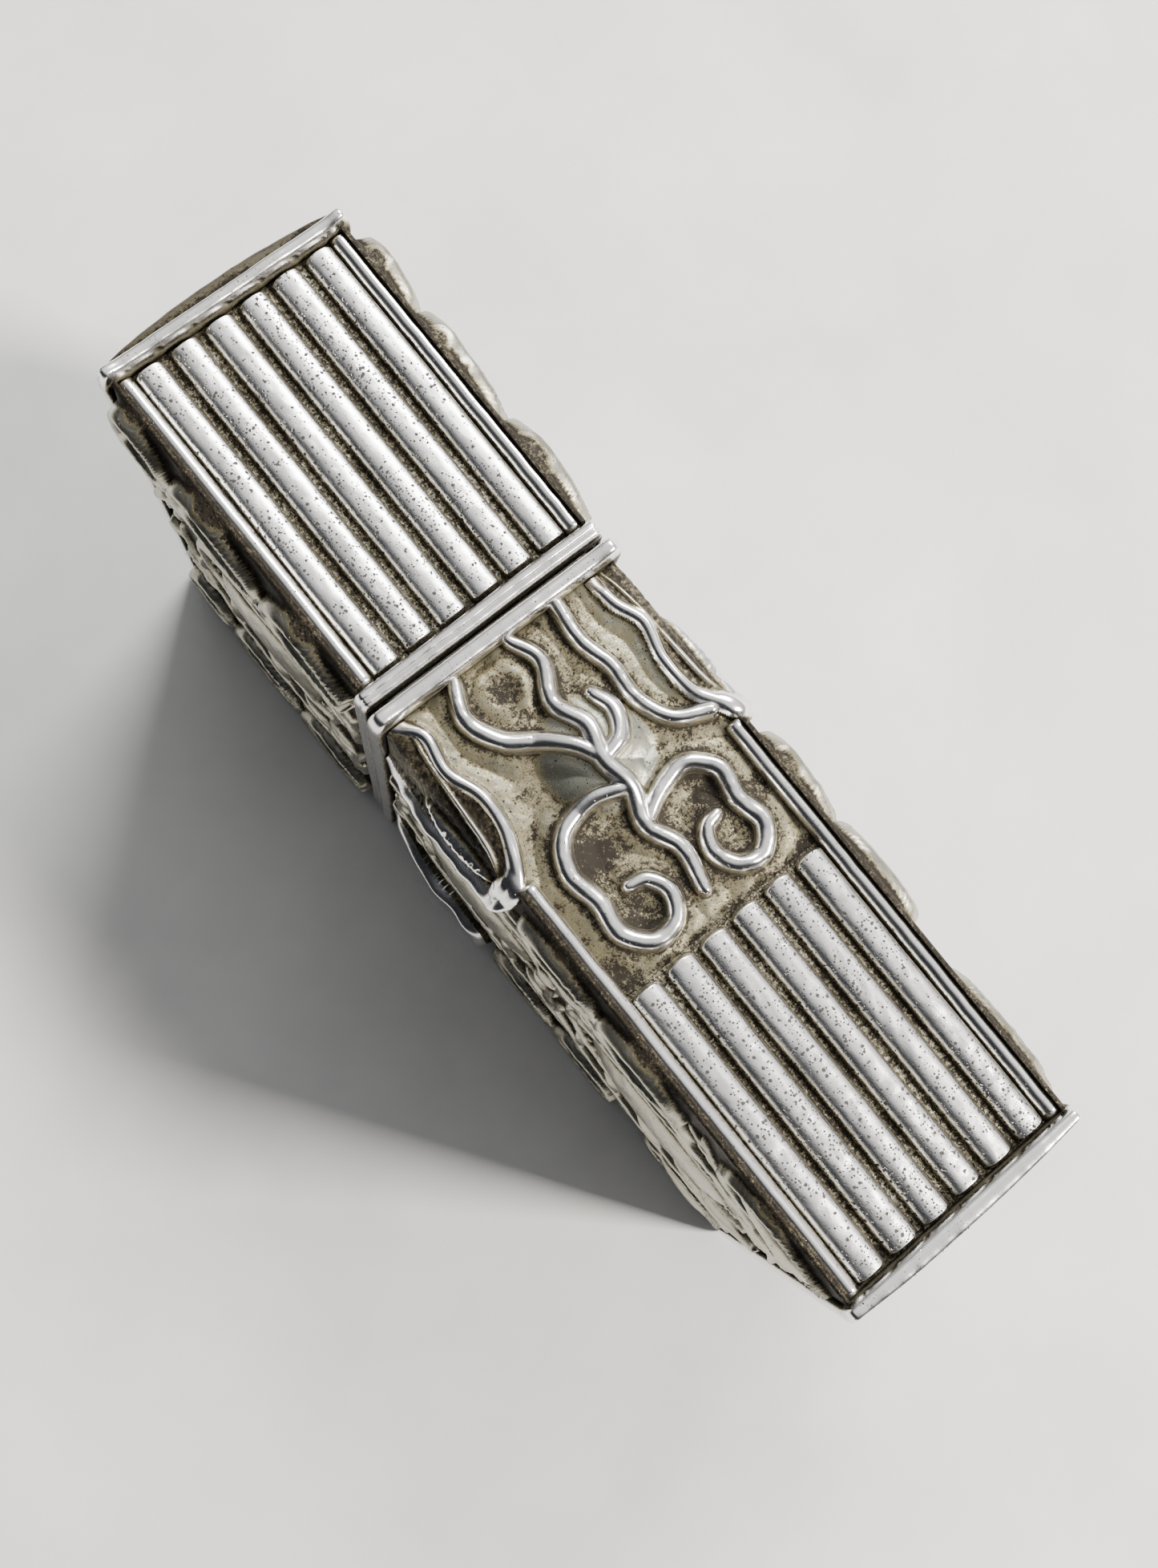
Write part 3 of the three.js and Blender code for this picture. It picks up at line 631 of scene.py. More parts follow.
def build_edge_wire(part, side, hand, seed):
    """A half-round moulding along one edge of a narrow side."""
    label = side["left"] if hand < 0 else side["right"]
    name = f"{part_name(part)}_{side['name']}_{label}_wire"
    low, high = span(name, 1)
    y = np.linspace(low - 0.05, high + 0.05, int((high - low) / 0.3))
    inner, outer = WIRE_X[0] - 0.05, WALL_X - 0.2
    turn = np.linspace(0, np.pi, 15)
    middle, half = (inner + outer) / 2, (outer - inner) / 2
    crest = EDGE_Z - 0.12 - FLOOR_Z
    rings = []
    for at in y:
        bend = 0.02 * wobble(at, 0.0, 9, seed) + 0.012 * wobble(at, 0.0, 2.2, seed + 1)
        end = min(1.0, 0.55 + min(at - y[0], y[-1] - at) / 0.35)
        x = hand * (middle + half * np.cos(turn) + bend)
        z = FLOOR_Z - 0.05 + (crest + 0.05 + bend) * end * np.sin(turn) ** 0.8
        low_x = hand * np.array([inner, outer])
        ring_x = np.concatenate([x, low_x])
        ring_z = np.concatenate([z, [FLOOR_Z - 0.2, FLOOR_Z - 0.2]])
        rings.append(np.stack([ring_x, np.full_like(ring_x, at), ring_z], -1))
    rings = np.array(rings)
    if side["turned"]:
        rings = rings * (-1, 1, -1)
    shade = np.concatenate([np.clip(0.80 - 1.6 * np.sin(turn), 0, 1), [0.8, 0.8]])
    ends = np.clip(1 - np.minimum(y - y[0], y[-1] - y) / 0.3, 0, 1)[:, None] * 0.6
    loft_piece(name, part["body"], rings, RIM, np.clip(shade[None] + ends, 0, 1))


# ---- rims and ends ----------------------------------------------------------------------------

RIM_BOWS = {"body_end_rim": -0.40}  # millimetres by which a rim widens towards its end of the case
RIM_KNOBS = {"lid_end_rim": 0.16, "body_mouth_rim": 0.09}  # share by which a rim swells at its corners


def rim_rings(half_x, half_z, profile, seed, hole=(None, None), corner=0.1, knob=0.0, bow=0.0):
    """Rings of a closed band: the profile's share runs from the hole's edge to the outside.

    A knob swells the corners; a bow widens the band along y in the middle of its short sides."""
    hole_x = hole[0] or WALL_X + GAP
    hole_z = hole[1] or FLOOR_Z + GAP
    straight_x, straight_z = hole_x - corner, hole_z - corner
    path = []
    for quarter in range(4):
        sx = 1 if quarter in (0, 3) else -1
        sz = 1 if quarter < 2 else -1
        for turn in np.linspace(0, np.pi / 2, 12):
            angle = quarter * np.pi / 2 + turn
            path.append((sx * straight_x, sz * straight_z, math.cos(angle), math.sin(angle)))
        nx = 1 if (quarter + 1) % 4 in (0, 3) else -1
        nz = 1 if (quarter + 1) % 4 < 2 else -1
        angle = (quarter + 1) * np.pi / 2
        length = abs(nx - sx) * straight_x + abs(nz - sz) * straight_z
        for t in np.linspace(0, 1, int(length / 0.35))[1:-1]:
            path.append((straight_x * (sx + (nx - sx) * t), straight_z * (sz + (nz - sz) * t),
                         math.cos(angle), math.sin(angle)))
    rings = []
    for px, pz, c, s in path:
        worn = 0.025 * wobble(px, pz, 6.0, seed) + 0.012 * wobble(px, pz, 1.5, seed + 1)
        worn = worn + knob * math.exp(-(((abs(px) - straight_x) ** 2 + (abs(pz) - straight_z) ** 2) / 0.6))
        lean = 0.02 * wobble(px, pz, 9.0, seed + 2)
        outward = (profile[:, 1] - profile[0, 1]) / np.ptp(profile[:, 1])
        bowed = bow * (1 - (px / straight_x) ** 2) * (outward if bow > 0 else 1 - outward)
        share, y = profile[:, 0] * (1 + worn * (profile[:, 0] > 0.5)), profile[:, 1] + lean + bowed
        x = px + (corner + share * (half_x - hole_x)) * c
        z = pz + (corner + share * (half_z - hole_z)) * s
        rings.append(np.stack([x, y, z], -1))
    return np.array(rings)


def half_round(low_y, high_y, steps=32):
    """A rim section with a broad, slightly flattened crest: share outwards, and y."""
    turn = np.linspace(-np.pi / 2, np.pi / 2, steps)
    middle, half = (low_y + high_y) / 2, (high_y - low_y) / 2
    share = 0.20 + 0.80 * np.cos(turn) ** 0.42
    y = middle + half * np.sign(np.sin(turn)) * np.abs(np.sin(turn)) ** 0.85
    arc = np.stack([share, y], -1)
    return np.concatenate([[[0.0, low_y]], arc, [[0.0, high_y]]])


def build_rim(name, body, seed):
    low_y, high_y = span(name, 1)
    half_x, half_z = span(name, 0)[1], span(name, 2)[1]
    profile = half_round(low_y, high_y)
    if name == "lid_mouth_rim":
        line = np.exp(-(((profile[:, 1] - low_y) / (high_y - low_y) - 0.40) / 0.07) ** 2)
        profile[:, 0] -= 0.22 * line * (profile[:, 0] > 0.5)
    knob, bow = RIM_KNOBS.get(name, 0.0), RIM_BOWS.get(name, 0.0)
    rings = rim_rings(half_x, half_z, profile, seed, knob=knob, bow=bow)
    reach = np.abs(rings[:, :, 0]).max(axis=1)
    painted_side_shade = 0.40 * step(reach, half_x - 0.30, half_x - 0.05)  # painted shade: the rims are drawn darker on the wide sides, as if those lay in shadow
    shade = np.clip(0.95 - 1.25 * profile[:, 0][None] + painted_side_shade[:, None], 0, 1)
    loft_piece(name, body, rings, RIM, shade, closed=True)


def build_end(name, body, sign, seed):
    """The pillowed end plate inside its rim."""
    half_x, half_z = span(name, 0)[1], span(name, 2)[1]
    low, high = sorted(abs(v) for v in span(name, 1))
    x = np.linspace(-half_x, half_x, 150)
    z = np.linspace(-half_z, half_z, 290)
    X, Z = np.meshgrid(x, z, indexing="ij")
    a, b = np.abs(X / half_x), np.abs(Z / half_z)
    rise = high - END_Y + 0.25 * (sign > 0)
    if sign > 0:
        pillow = np.clip(1 - a**2.0, 0, None) ** 0.8 * np.clip(1 - b**60, 0, None) ** 0.30
    else:
        pillow = np.clip(1 - a**2.0, 0, None) ** 0.8 * np.clip(1 - b**4, 0, None) ** 0.8
    edge = step(half_x - np.abs(X), 0.0, 0.5) * step(half_z - np.abs(Z), 0.0, 0.25)
    height = END_Y - 0.20 * (1 - edge) + rise * pillow
    height = height + 0.035 * wobble(X, Z, 6.0, seed) * edge + 0.012 * wobble(X, Z, 1.9, seed + 1) * edge
    cavity = np.clip(0.40 + 0.50 * (1 - edge) - 0.20 * pillow + 0.14 * wobble(X, Z, 7.0, seed + 2), 0, 1)

    def place(u, v, h):
        return np.stack([u, sign * h, v], -1)

    relief_piece(name, body, x, z, height, place, low, END, cavity)


# ---- the ornamented top of the body -----------------------------------------------------------

# Each dome is x, y, half width, half length and height. Curves are x, y points, and a stain is x, y
# and radius.
PANEL_DOMES = ((0.35, -1.0, 4.3, 4.7, 0.75), (-1.9, 6.2, 2.3, 2.3, 0.45))
VINE = (
    ((0.4, 8.9), (1.3, 6.3), (0.1, 3.6), (0.9, 1.0), (0.2, -1.6), (0.6, -4.2), (-0.2, -6.8),
     (0.8, -9.4), (0.2, -12.6)),
    ((-4.2, 8.9), (-5.3, 6.2), (-4.2, 3.6), (-2.2, 2.0), (-0.6, 0.2), (0.2, -1.6)),
    ((0.2, -1.6), (2.2, -1.0), (3.1, 0.8), (2.6, 2.6)),
    ((0.6, -4.2), (-2.2, -3.2), (-5.0, -3.9), (-6.3, -6.2), (-5.9, -8.8), (-6.1, -11.3),
     (-4.6, -13.1), (-2.6, -12.9), (-1.7, -11.2), (-2.4, -9.6), (-3.7, -9.2)),
    ((-0.2, -6.8), (1.9, -5.6), (4.5, -5.1), (6.2, -6.8), (5.9, -9.2), (6.3, -11.5),
     (4.9, -13.1), (3.1, -12.7), (2.3, -11.0), (2.9, -9.5), (4.1, -9.1)),
)
PANEL_STAINS = ((-4.2, -6.4, 1.3), (-4.4, -11.0, 1.1), (4.5, -7.8, 1.2), (-8.3, -13.6, 1.3),
                (7.6, -9.6, 0.9))
VINE_HALF = 0.79
VINE_RISE = 1.0
INNER_WAVE = ((4.6, 8.9), (4.3, 5.8), (4.9, 3.1), (4.8, 0.4), (5.9, -2.1), (8.3, -3.4))
LEFT_WAVE = ((-9.2, 9.0), (-8.1, 7.0), (-8.45, 4.2), (-7.6, 1.45), (-7.8, -1.3), (-9.15, -4.1))
RIGHT_WAVE = ((7.6, 9.0), (7.8, 6.4), (8.6, 4.2), (8.0, 1.4), (8.1, -1.3), (9.1, -3.3))


def ridge_over(far, half, height):
    """A ridge like a half-sunk wire: rounded crest, steep sides, and below zero beyond its foot."""
    t = far / half
    return height * np.where(t < 1, np.clip(1 - t**2.2, 0, None) ** 0.62, 0.8 * (1 - t))


def build_ornament(side, seed):
    """Panel, vine and inner wave of one narrow side, drawn as one relief and cut into its pieces."""
    low_y, high_y = span(f"{side['name']}_panel", 1)
    x = np.linspace(-SHEET_X, SHEET_X, 276)
    y = np.linspace(low_y - 0.14, high_y, 360)
    spacing = x[1] - x[0]
    canvas = Canvas(x, y, seed)
    X, Y = canvas.U, canvas.V
    base = 0.05 * wobble(X, Y, 3.4, seed) + 0.025 * wobble(X, Y, 1.1, seed + 1)
    big, small = PANEL_DOMES
    base = smooth_max(base, canvas.drop(*big[:4], big[4] + 0.30, power=0.9) - 0.06, 0.14)
    bowl = canvas.drop(*small[:4], small[4] + 0.18, power=0.7)
    bowl = bowl - canvas.drop(*small[:2], 1.3, 1.3, 0.26, power=1.5)
    base = smooth_max(base, bowl - 0.04, 0.12)
    vine = np.full(X.shape, -1.0)
    reach = np.full(X.shape, 9.0)
    for points in VINE:
        far, share = canvas.away(points, 2.6)
        swell = VINE_HALF * (0.66 + 0.34 * np.sin(np.pi * np.clip(share, 0.0, 1.0)) ** 0.45)
        tall = VINE_RISE * (0.45 + 0.55 * swell / VINE_HALF) * (1 + 0.05 * wobble(X, Y, 2.5, seed + 8))
        vine = smooth_max(vine, ridge_over(far, swell, tall), 0.10)
        reach = np.minimum(reach, np.clip(far - swell, 0, None))
    far, share = canvas.away(INNER_WAVE, 2.6)
    wave = ridge_over(far, 0.68, 0.98)
    reach = np.minimum(reach, np.clip(far - 0.68, 0, None))
    for points in (LEFT_WAVE, RIGHT_WAVE):
        far, share = canvas.away(points, 2.6)
        reach = np.minimum(reach, np.clip(far - 0.45, 0, None))
    fillet = 0.08 * np.exp(-((reach / 0.35) ** 1.4))
    pocket = -0.22 * step(reach, 0.5, 1.8)
    panel = FLOOR_Z + (base + fillet + pocket) * step(Y, low_y - 0.14, low_y + 0.7)
    panel = panel - 0.05 * (1 - step(Y, low_y - 0.14, low_y + 0.1))
    over = base + 0.10
    relief = np.maximum(panel, FLOOR_Z + over + np.maximum(vine, wave))
    cavity = hollows(relief, spacing, 0.40, 1.3)
    stain = step(reach, 0.55, 1.4) * step(wobble(X, Y, 2.8, seed + 5), 0.15, 0.80)
    eye = np.clip(canvas.drop(small[0], small[1], 1.5, 1.5, 1.0), 0, 1)
    bright = step(canvas.drop(*big[:4], 1.0), 0.25, 0.70)
    crumbs = 0.70 + 0.30 * wobble(X, Y, 0.7, seed + 6)
    spots = sum(np.exp(-(((X - a) ** 2 + (Y - b) ** 2) / r**2)) for a, b, r in PANEL_STAINS)
    foot = np.exp(-((reach / 0.20) ** 2))
    lowest = np.exp(-((Y - low_y) / 0.35) ** 2)
    panel_cavity = 0.37 + 0.5 * (cavity - 0.38) + 0.26 * stain + 0.42 * eye * crumbs + 0.85 * spots * crumbs
    panel_cavity = panel_cavity * (1 - 0.8 * bright)
    panel_cavity = panel_cavity + 0.26 * foot + 0.25 * lowest
    panel_cavity = np.clip(panel_cavity, 0, 1)
    place = narrow_place(side["turned"])
    name = side["name"]
    relief_piece(f"{name}_panel", "case", x, y, panel, place, SHEET_LOW_Z, GROUND, panel_cavity)
    for label, field in (("vine", vine), ("inner_wave", wave)):
        height = FLOOR_Z + over + field
        rubbed = np.clip(0.56 - 0.95 * np.clip(field, 0, 0.8) / 0.8, 0, 1)
        inside_it = field > 0.02
        keep = inside_it[:-1, :-1] | inside_it[1:, :-1] | inside_it[1:, 1:] | inside_it[:-1, 1:]
        relief_piece(f"{name}_{label}", "case", x, y, height, place, FLOOR_Z - 0.3, RAISED, rubbed,
                     keep)


def inside(outline, U, V):
    """True where a point lies inside the closed outline."""
    result = np.zeros(U.shape, bool)
    for (u0, v0), (u1, v1) in zip(outline, np.roll(outline, -1, axis=0)):
        crosses = (v0 > V) != (v1 > V)
        slope = (u1 - u0) / (v1 - v0) if v1 != v0 else 0.0
        result ^= crosses & (U < u0 + slope * (V - v0))
    return result


def corner_place(side, hand):
    """Front face, rounded corner and wide side as one strip: s is negative on the front."""
    sign = -1.0 if side["turned"] else 1.0
    arc = CORNER_BEND * np.pi / 2

    def place(s, y, h):
        turn = np.clip(s / arc, 0, 1) * np.pi / 2
        x = WALL_X - CORNER_BEND + np.minimum(s, 0) + (CORNER_BEND + h) * np.sin(turn)
        z = FLOOR_Z - CORNER_BEND - np.maximum(s - arc, 0) + (CORNER_BEND + h) * np.cos(turn)
        return np.stack([sign * hand * x, y, sign * z], -1)

    return place


def build_tongue(side, hand, wave, seed):
    """A flame-shaped leaf whose raised edge runs down the front and back up the wide side."""
    label = side["left"] if hand < 0 else side["right"]
    name = f"{side['name']}_{label}_tongue"
    front = [(abs(x) - WALL_X + CORNER_BEND, y) for x, y in wave]
    edge = front + [(1.1, -4.9), (2.9, -3.9), (3.9, -1.2), (4.4, 2.2), (5.8, 5.4), (8.4, 8.95)]
    s = np.linspace(-2.6, 9.3, 150)
    y = np.linspace(-6.0, TONGUE_TOP, 190)
    canvas = Canvas(s, y, seed)
    far, share = canvas.away(edge, 3.0, 12)
    within = inside(smooth_path(edge + [(8.4, 9.6), (front[0][0], 9.6)], 12), canvas.U, canvas.V)
    gauge = 0.58 + 0.14 * np.exp(-(((share - 0.45) / 0.08) ** 2))
    tall = 0.98 + 0.08 * wobble(canvas.U, canvas.V, 3.0, seed)
    ridge = np.sqrt(np.clip(1 - (far / gauge) ** 2, 0, None)) * tall
    floor = 0.20 + 0.30 * np.exp(-((np.clip(far - gauge, 0, None) / 0.40) ** 1.5))
    boss = canvas.drop(1.75, 0.3, 0.72, 3.9, 0.62, turn=-0.06)
    boss = np.maximum(boss, canvas.drop(0.95, -4.15, 1.4, 0.9, 0.75))
    rib = [(0.55, -3.8), (0.1, -1.5), (-0.1, 2.0), (-0.3, 5.5), (-0.9, 9.6)]
    inner = canvas.bar(rib, 0.20, 0.50, root=0.4)
    pits = canvas.dots(0.42, 0.20, 0.12, (ridge < 0.1) * 1.0)
    top = smooth_max(floor - pits, np.maximum(ridge, np.maximum(boss - 0.7 * pits, inner) + 0.12), 0.10)
    solid = within | (far < gauge)
    away = TONGUE_TOP - canvas.V
    tucked = 0.45 + 0.55 * step(away, 0.0, 1.6)  # lower where it meets the rim
    flare = 1 + 0.85 * step(canvas.U, 0.5, 1.6) * step(away, 0.6, 6.0)
    height = np.where(solid, top * tucked * flare, 0.02)
    keep = solid[:-1, :-1] | solid[1:, :-1] | solid[1:, 1:] | solid[:-1, 1:]
    cavity = hollows(np.where(solid, top, floor), s[1] - s[0], 0.4, 1.3)
    cavity = np.where(ridge > 0.45, np.minimum(cavity, 0.12), cavity + 0.22 - 0.34 * step(boss, 0.15, 0.5))
    relief_piece(name, "case", s, y, height, corner_place(side, hand), -0.15, RAISED,
                 np.clip(cavity, 0, 1), keep)


# ---- wide sides -------------------------------------------------------------------------------

def egg(canvas, y, z, half_y, half_z, width, height, turn=0.0, swell=0.22):
    """A closed raised line round an egg shape, thicker on one side."""
    angle = np.linspace(0, 2 * np.pi, 17)
    c, s = math.cos(turn), math.sin(turn)
    a = half_y * np.cos(angle)
    b = half_z * np.sin(angle) * (1 + swell * np.cos(angle))
    points = np.stack([y + a * c - b * s, z + a * s + b * c], -1)
    far, share = canvas.away(points, width * 1.8, 5)
    gauge = width * (0.82 + 0.30 * np.cos(2 * np.pi * share))
    return height * np.sqrt(np.clip(1 - (far / gauge) ** 2, 0, None))


def lobe(canvas, y, z, half_y, half_z, height, turn=0.0):
    """An edge lobe: a heavy outline, a lighter one inside it, and a domed pad with a drop on it."""
    outline = egg(canvas, y, z, half_y, half_z, 0.56, height, turn)
    inner = egg(canvas, y, z, half_y * 0.60, half_z * 0.56, 0.30, 0.42, turn)
    pad = canvas.drop(y, z, half_y, half_z, 0.60, turn, power=0.3)
    tear = canvas.drop(y, z, half_y * 0.36, half_z * 0.30, 0.40, turn, point=0.5)
    return np.maximum(outline, pad + np.maximum(inner, tear))


def foliage(canvas, path, gauge=0.55, leaves=6, size=2.1, height=0.9, hand=1):
    """A tapering stem with a pointed leaf on either side in turn, smaller towards its tip."""
    shapes = [canvas.bar(path, gauge, height, tip=0.35, root=0.8)]
    line = smooth_path(path, 12)
    steps = np.concatenate([[0], np.cumsum(np.hypot(*np.diff(line, axis=0).T))])
    for k in range(leaves):
        share = (k + 0.8) / (leaves + 0.6)
        at = share * steps[-1]
        here = [np.interp(at, steps, line[:, n]) for n in (0, 1)]
        ahead = [np.interp(at + 0.3, steps, line[:, n]) for n in (0, 1)]
        angle = math.atan2(ahead[1] - here[1], ahead[0] - here[0])
        side = hand if k % 2 else -hand
        lean = angle + side * 0.75
        long = size * (1.1 - 0.45 * share)
        u, v = here[0] + math.cos(lean) * long * 1.05, here[1] + math.sin(lean) * long * 1.05
        leaf = canvas.drop(u, v, long, long * 0.40, height * 0.80, lean, point=0.55)
        point = (u + math.cos(lean) * long * 0.8, v + math.sin(lean) * long * 0.8)
        vein = canvas.bar([here, (u, v), point], 0.16, 0.22, tip=0.3)
        shapes.append(leaf + vein * (leaf > 0.1))
    return highest(shapes)


def feather(canvas, path, barbs, long, hand):
    """A rib with short barbs that lean along it on one side."""
    shapes = [canvas.bar(path, 0.38, 0.75, tip=0.5)]
    line = smooth_path(path, 12)
    for k in range(barbs):
        n = int((k + 0.5) / barbs * (len(line) - 2))
        here, ahead = line[n], line[n + 1] - line[n]
        angle = math.atan2(ahead[1], ahead[0]) + hand * 1.05
        tip = here + long * np.array([math.cos(angle), math.sin(angle)])
        bend = here + 0.55 * long * np.array([math.cos(angle + hand * 0.3), math.sin(angle + hand * 0.3)])
        shapes.append(canvas.bar([here, bend, tip], 0.27, 0.60, tip=0.5))
    return highest(shapes)


def ring_of_beads(canvas, y, z, half_y, half_z, count, radius, height):
    """Small round beads set along an oval."""
    turns = 2 * np.pi * np.arange(count) / count
    return highest([canvas.drop(y + half_y * math.cos(turn), z + half_z * math.sin(turn), radius, radius,
                                height) for turn in turns])


def lid_relief(canvas):
    """Raised ornament of a lid plate: edge lobes, a central drop, and foliage between them."""
    shapes = [
        canvas.drop(24.4, 0, 6.9, 4.7, 1.3, point=0.5),
        egg(canvas, 24.6, 0, 9.0, 6.5, 0.42, 0.75, swell=-0.12),
        ring_of_beads(canvas, 24.6, 0, 7.95, 5.6, 34, 0.42, 0.42),
    ]
    for s in (1, -1):
        for y, half in ((35.3, 3.1), (26.8, 4.7), (16.7, 4.7)):
            shapes.append(lobe(canvas, y, s * 17.9, half, 2.75, 1.5, turn=0.06 * s))
        outer = ((12.0, 2.4 * s), (14.2, 8.2 * s), (19.4, 11.4 * s), (26.0, 12.0 * s), (31.8, 10.2 * s),
                 (35.6, 6.4 * s), (36.9, 2.4 * s))
        corner = ((12.4, 7.4 * s), (12.6, 10.6 * s), (14.0, 12.6 * s))
        far_corner = ((34.0, 10.4 * s), (36.6, 11.2 * s), (37.8, 13.2 * s))
        shapes += [
            foliage(canvas, outer, 0.60, 10, 2.7, 0.95, s),
            foliage(canvas, corner, 0.46, 3, 1.7, 0.8, s),
            foliage(canvas, far_corner, 0.46, 3, 1.6, 0.8, s),
        ]
    return highest(shapes)


def body_relief(canvas):
    """Raised ornament of a body plate, in the same manner."""
    shapes = [
        canvas.drop(-25.2, 0, 8.6, 5.2, 1.3, point=0.45),
        egg(canvas, -25.0, 0, 11.0, 7.2, 0.42, 0.75, swell=-0.12),
        ring_of_beads(canvas, -25.0, 0, 9.8, 6.2, 40, 0.42, 0.42),
        canvas.drop(-2.6, 0, 6.9, 4.2, 1.3, point=0.5),
        egg(canvas, -2.4, 0, 8.6, 5.8, 0.38, 0.65, swell=-0.12),
    ]
    for s in (1, -1):
        plume = ((-38.0, 13.4 * s), (-33.0, 14.4 * s), (-28.4, 15.4 * s), (-25.4, 18.4 * s))
        long_stem = ((-38.4, 3.0 * s), (-35.6, 9.0 * s), (-29.6, 12.2 * s), (-22.6, 12.6 * s),
                     (-16.4, 10.4 * s), (-12.6, 6.2 * s), (-12.4, 2.2 * s))
        upper = ((-16.4, 10.4 * s), (-10.4, 11.6 * s), (-4.4, 9.8 * s), (1.6, 8.6 * s),
                 (6.6, 5.6 * s), (8.2, 2.0 * s))
        curl = ((-6.6, 13.4 * s), (-2.2, 13.0 * s), (2.4, 11.8 * s), (4.6, 9.6 * s))
        shapes += [
            lobe(canvas, -10.8, s * 18.3, 3.9, 2.3, 1.4),
            lobe(canvas, -19.4, s * 18.3, 4.2, 2.4, 1.4),
            canvas.drop(-33.6, s * 18.3, 4.4, 1.9, 1.3, turn=-0.12 * s, point=0.4),
            egg(canvas, -33.2, s * 18.2, 5.4, 2.45, 0.38, 1.0),
            feather(canvas, plume, 12, 2.0, -s),
            foliage(canvas, long_stem, 0.62, 12, 2.8, 0.95, s),
            foliage(canvas, upper, 0.56, 9, 2.5, 0.9, s),
            foliage(canvas, curl, 0.46, 5, 1.7, 0.8, -s),
        ]
    return highest(shapes)


def build_wide(part, turned, seed):
    """A wide plate: embossed between its rims, with plain tabs that pass through them."""
    low, high = sorted((part["mouth"], part["stop"]))
    trim_low, trim_high = part["trim"]
    count = int((high - low) / 0.15)
    corners = [trim_low, trim_low - 0.02, trim_high, trim_high + 0.02]
    y = np.unique(np.concatenate([np.linspace(low, high, count), corners]))
    z = np.linspace(-EDGE_Z, EDGE_Z, 288)
    spacing = z[1] - z[0]
    canvas = Canvas(y, z, seed)
    Y, Z = canvas.U, canvas.V
    smooth = (lid_relief if part is LID else body_relief)(canvas)
    smooth = canvas.warped(smooth, 0.26, 10.0, seed + 2)
    smooth = canvas.warped(smooth, 0.10, 3.2, seed + 4)
    sheltered = np.clip(blur(smooth, 5) * 0.5, 0, 0.3)
    raised = smooth_max(smooth, sheltered, 0.10) - 0.04
    relief = raised + 0.06 * wobble(Y, Z, 6.5, seed) + 0.025 * wobble(Y, Z, 1.6, seed + 1)
    matte = 1 - step(smooth, 0.04, 0.22)
    edge = EDGE_Z - np.abs(Z)
    border = step(edge, 0.10, 0.45)
    relief = relief * border * step(Y, trim_low, trim_low + 0.5) * step(-Y, -trim_high, -trim_high + 0.5)
    lip = 0.18 - np.sqrt(np.clip(0.18**2 - np.clip(0.18 - edge, 0, None) ** 2, 0, None))
    height = WALL_X + relief - lip
    cavity = hollows(relief, spacing, 0.5, 1.35)
    cavity = np.clip(cavity + 0.16 * matte - 0.22 * step(smooth, 0.35, 0.9), 0, 1)
    cavity = np.where(edge < 0.3, 0.60, cavity)
    tabs = (Y < trim_low) | (Y > trim_high)
    height = np.where(tabs, WALL_X - 0.02, height)
    tab = TAB_Z / EDGE_Z

    def outline(at):
        """Share of the full depth: less under the rims, and on the body under the tongues."""
        held = np.where((at < trim_low) | (at > trim_high), tab, 1.0)
        under = 1 - (1 - tab) * step(at, TONGUE_LOW - 0.6, TONGUE_LOW + 0.3)
        return np.minimum(held, under) if part is BODY else held

    label = "left" if turned else "right"
    name = f"{part_name(part)}_{label}_plate"
    relief_piece(name, part["body"], y, z, height, wide_place(turned, outline), PLATE_X, EMBOSSED,
                 cavity)


# ---- inside -----------------------------------------------------------------------------------

def build_collar():
    """The plain sleeve that the lid slides over, with a softened lip."""
    half_x, half_z = span("inner_collar", 0)[1], span("inner_collar", 2)[1]
    low, high = span("inner_collar", 1)
    thick = 0.6
    section = [(0, low), (1, low), (1, high - 0.25), (0.9, high - 0.08), (0.65, high), (0.35, high),
               (0.1, high - 0.08), (0, high - 0.25)]
    hole = (half_x - thick, half_z - thick)
    rings = rim_rings(half_x, half_z, np.array(section, float), seed=71, hole=hole, corner=0.9)
    rings[..., 0] = np.clip(rings[..., 0], -half_x, half_x)
    rings[..., 2] = np.clip(rings[..., 2], -half_z, half_z)
    loft_piece("inner_collar", "case", rings, PLAIN, 0.3, closed=True)


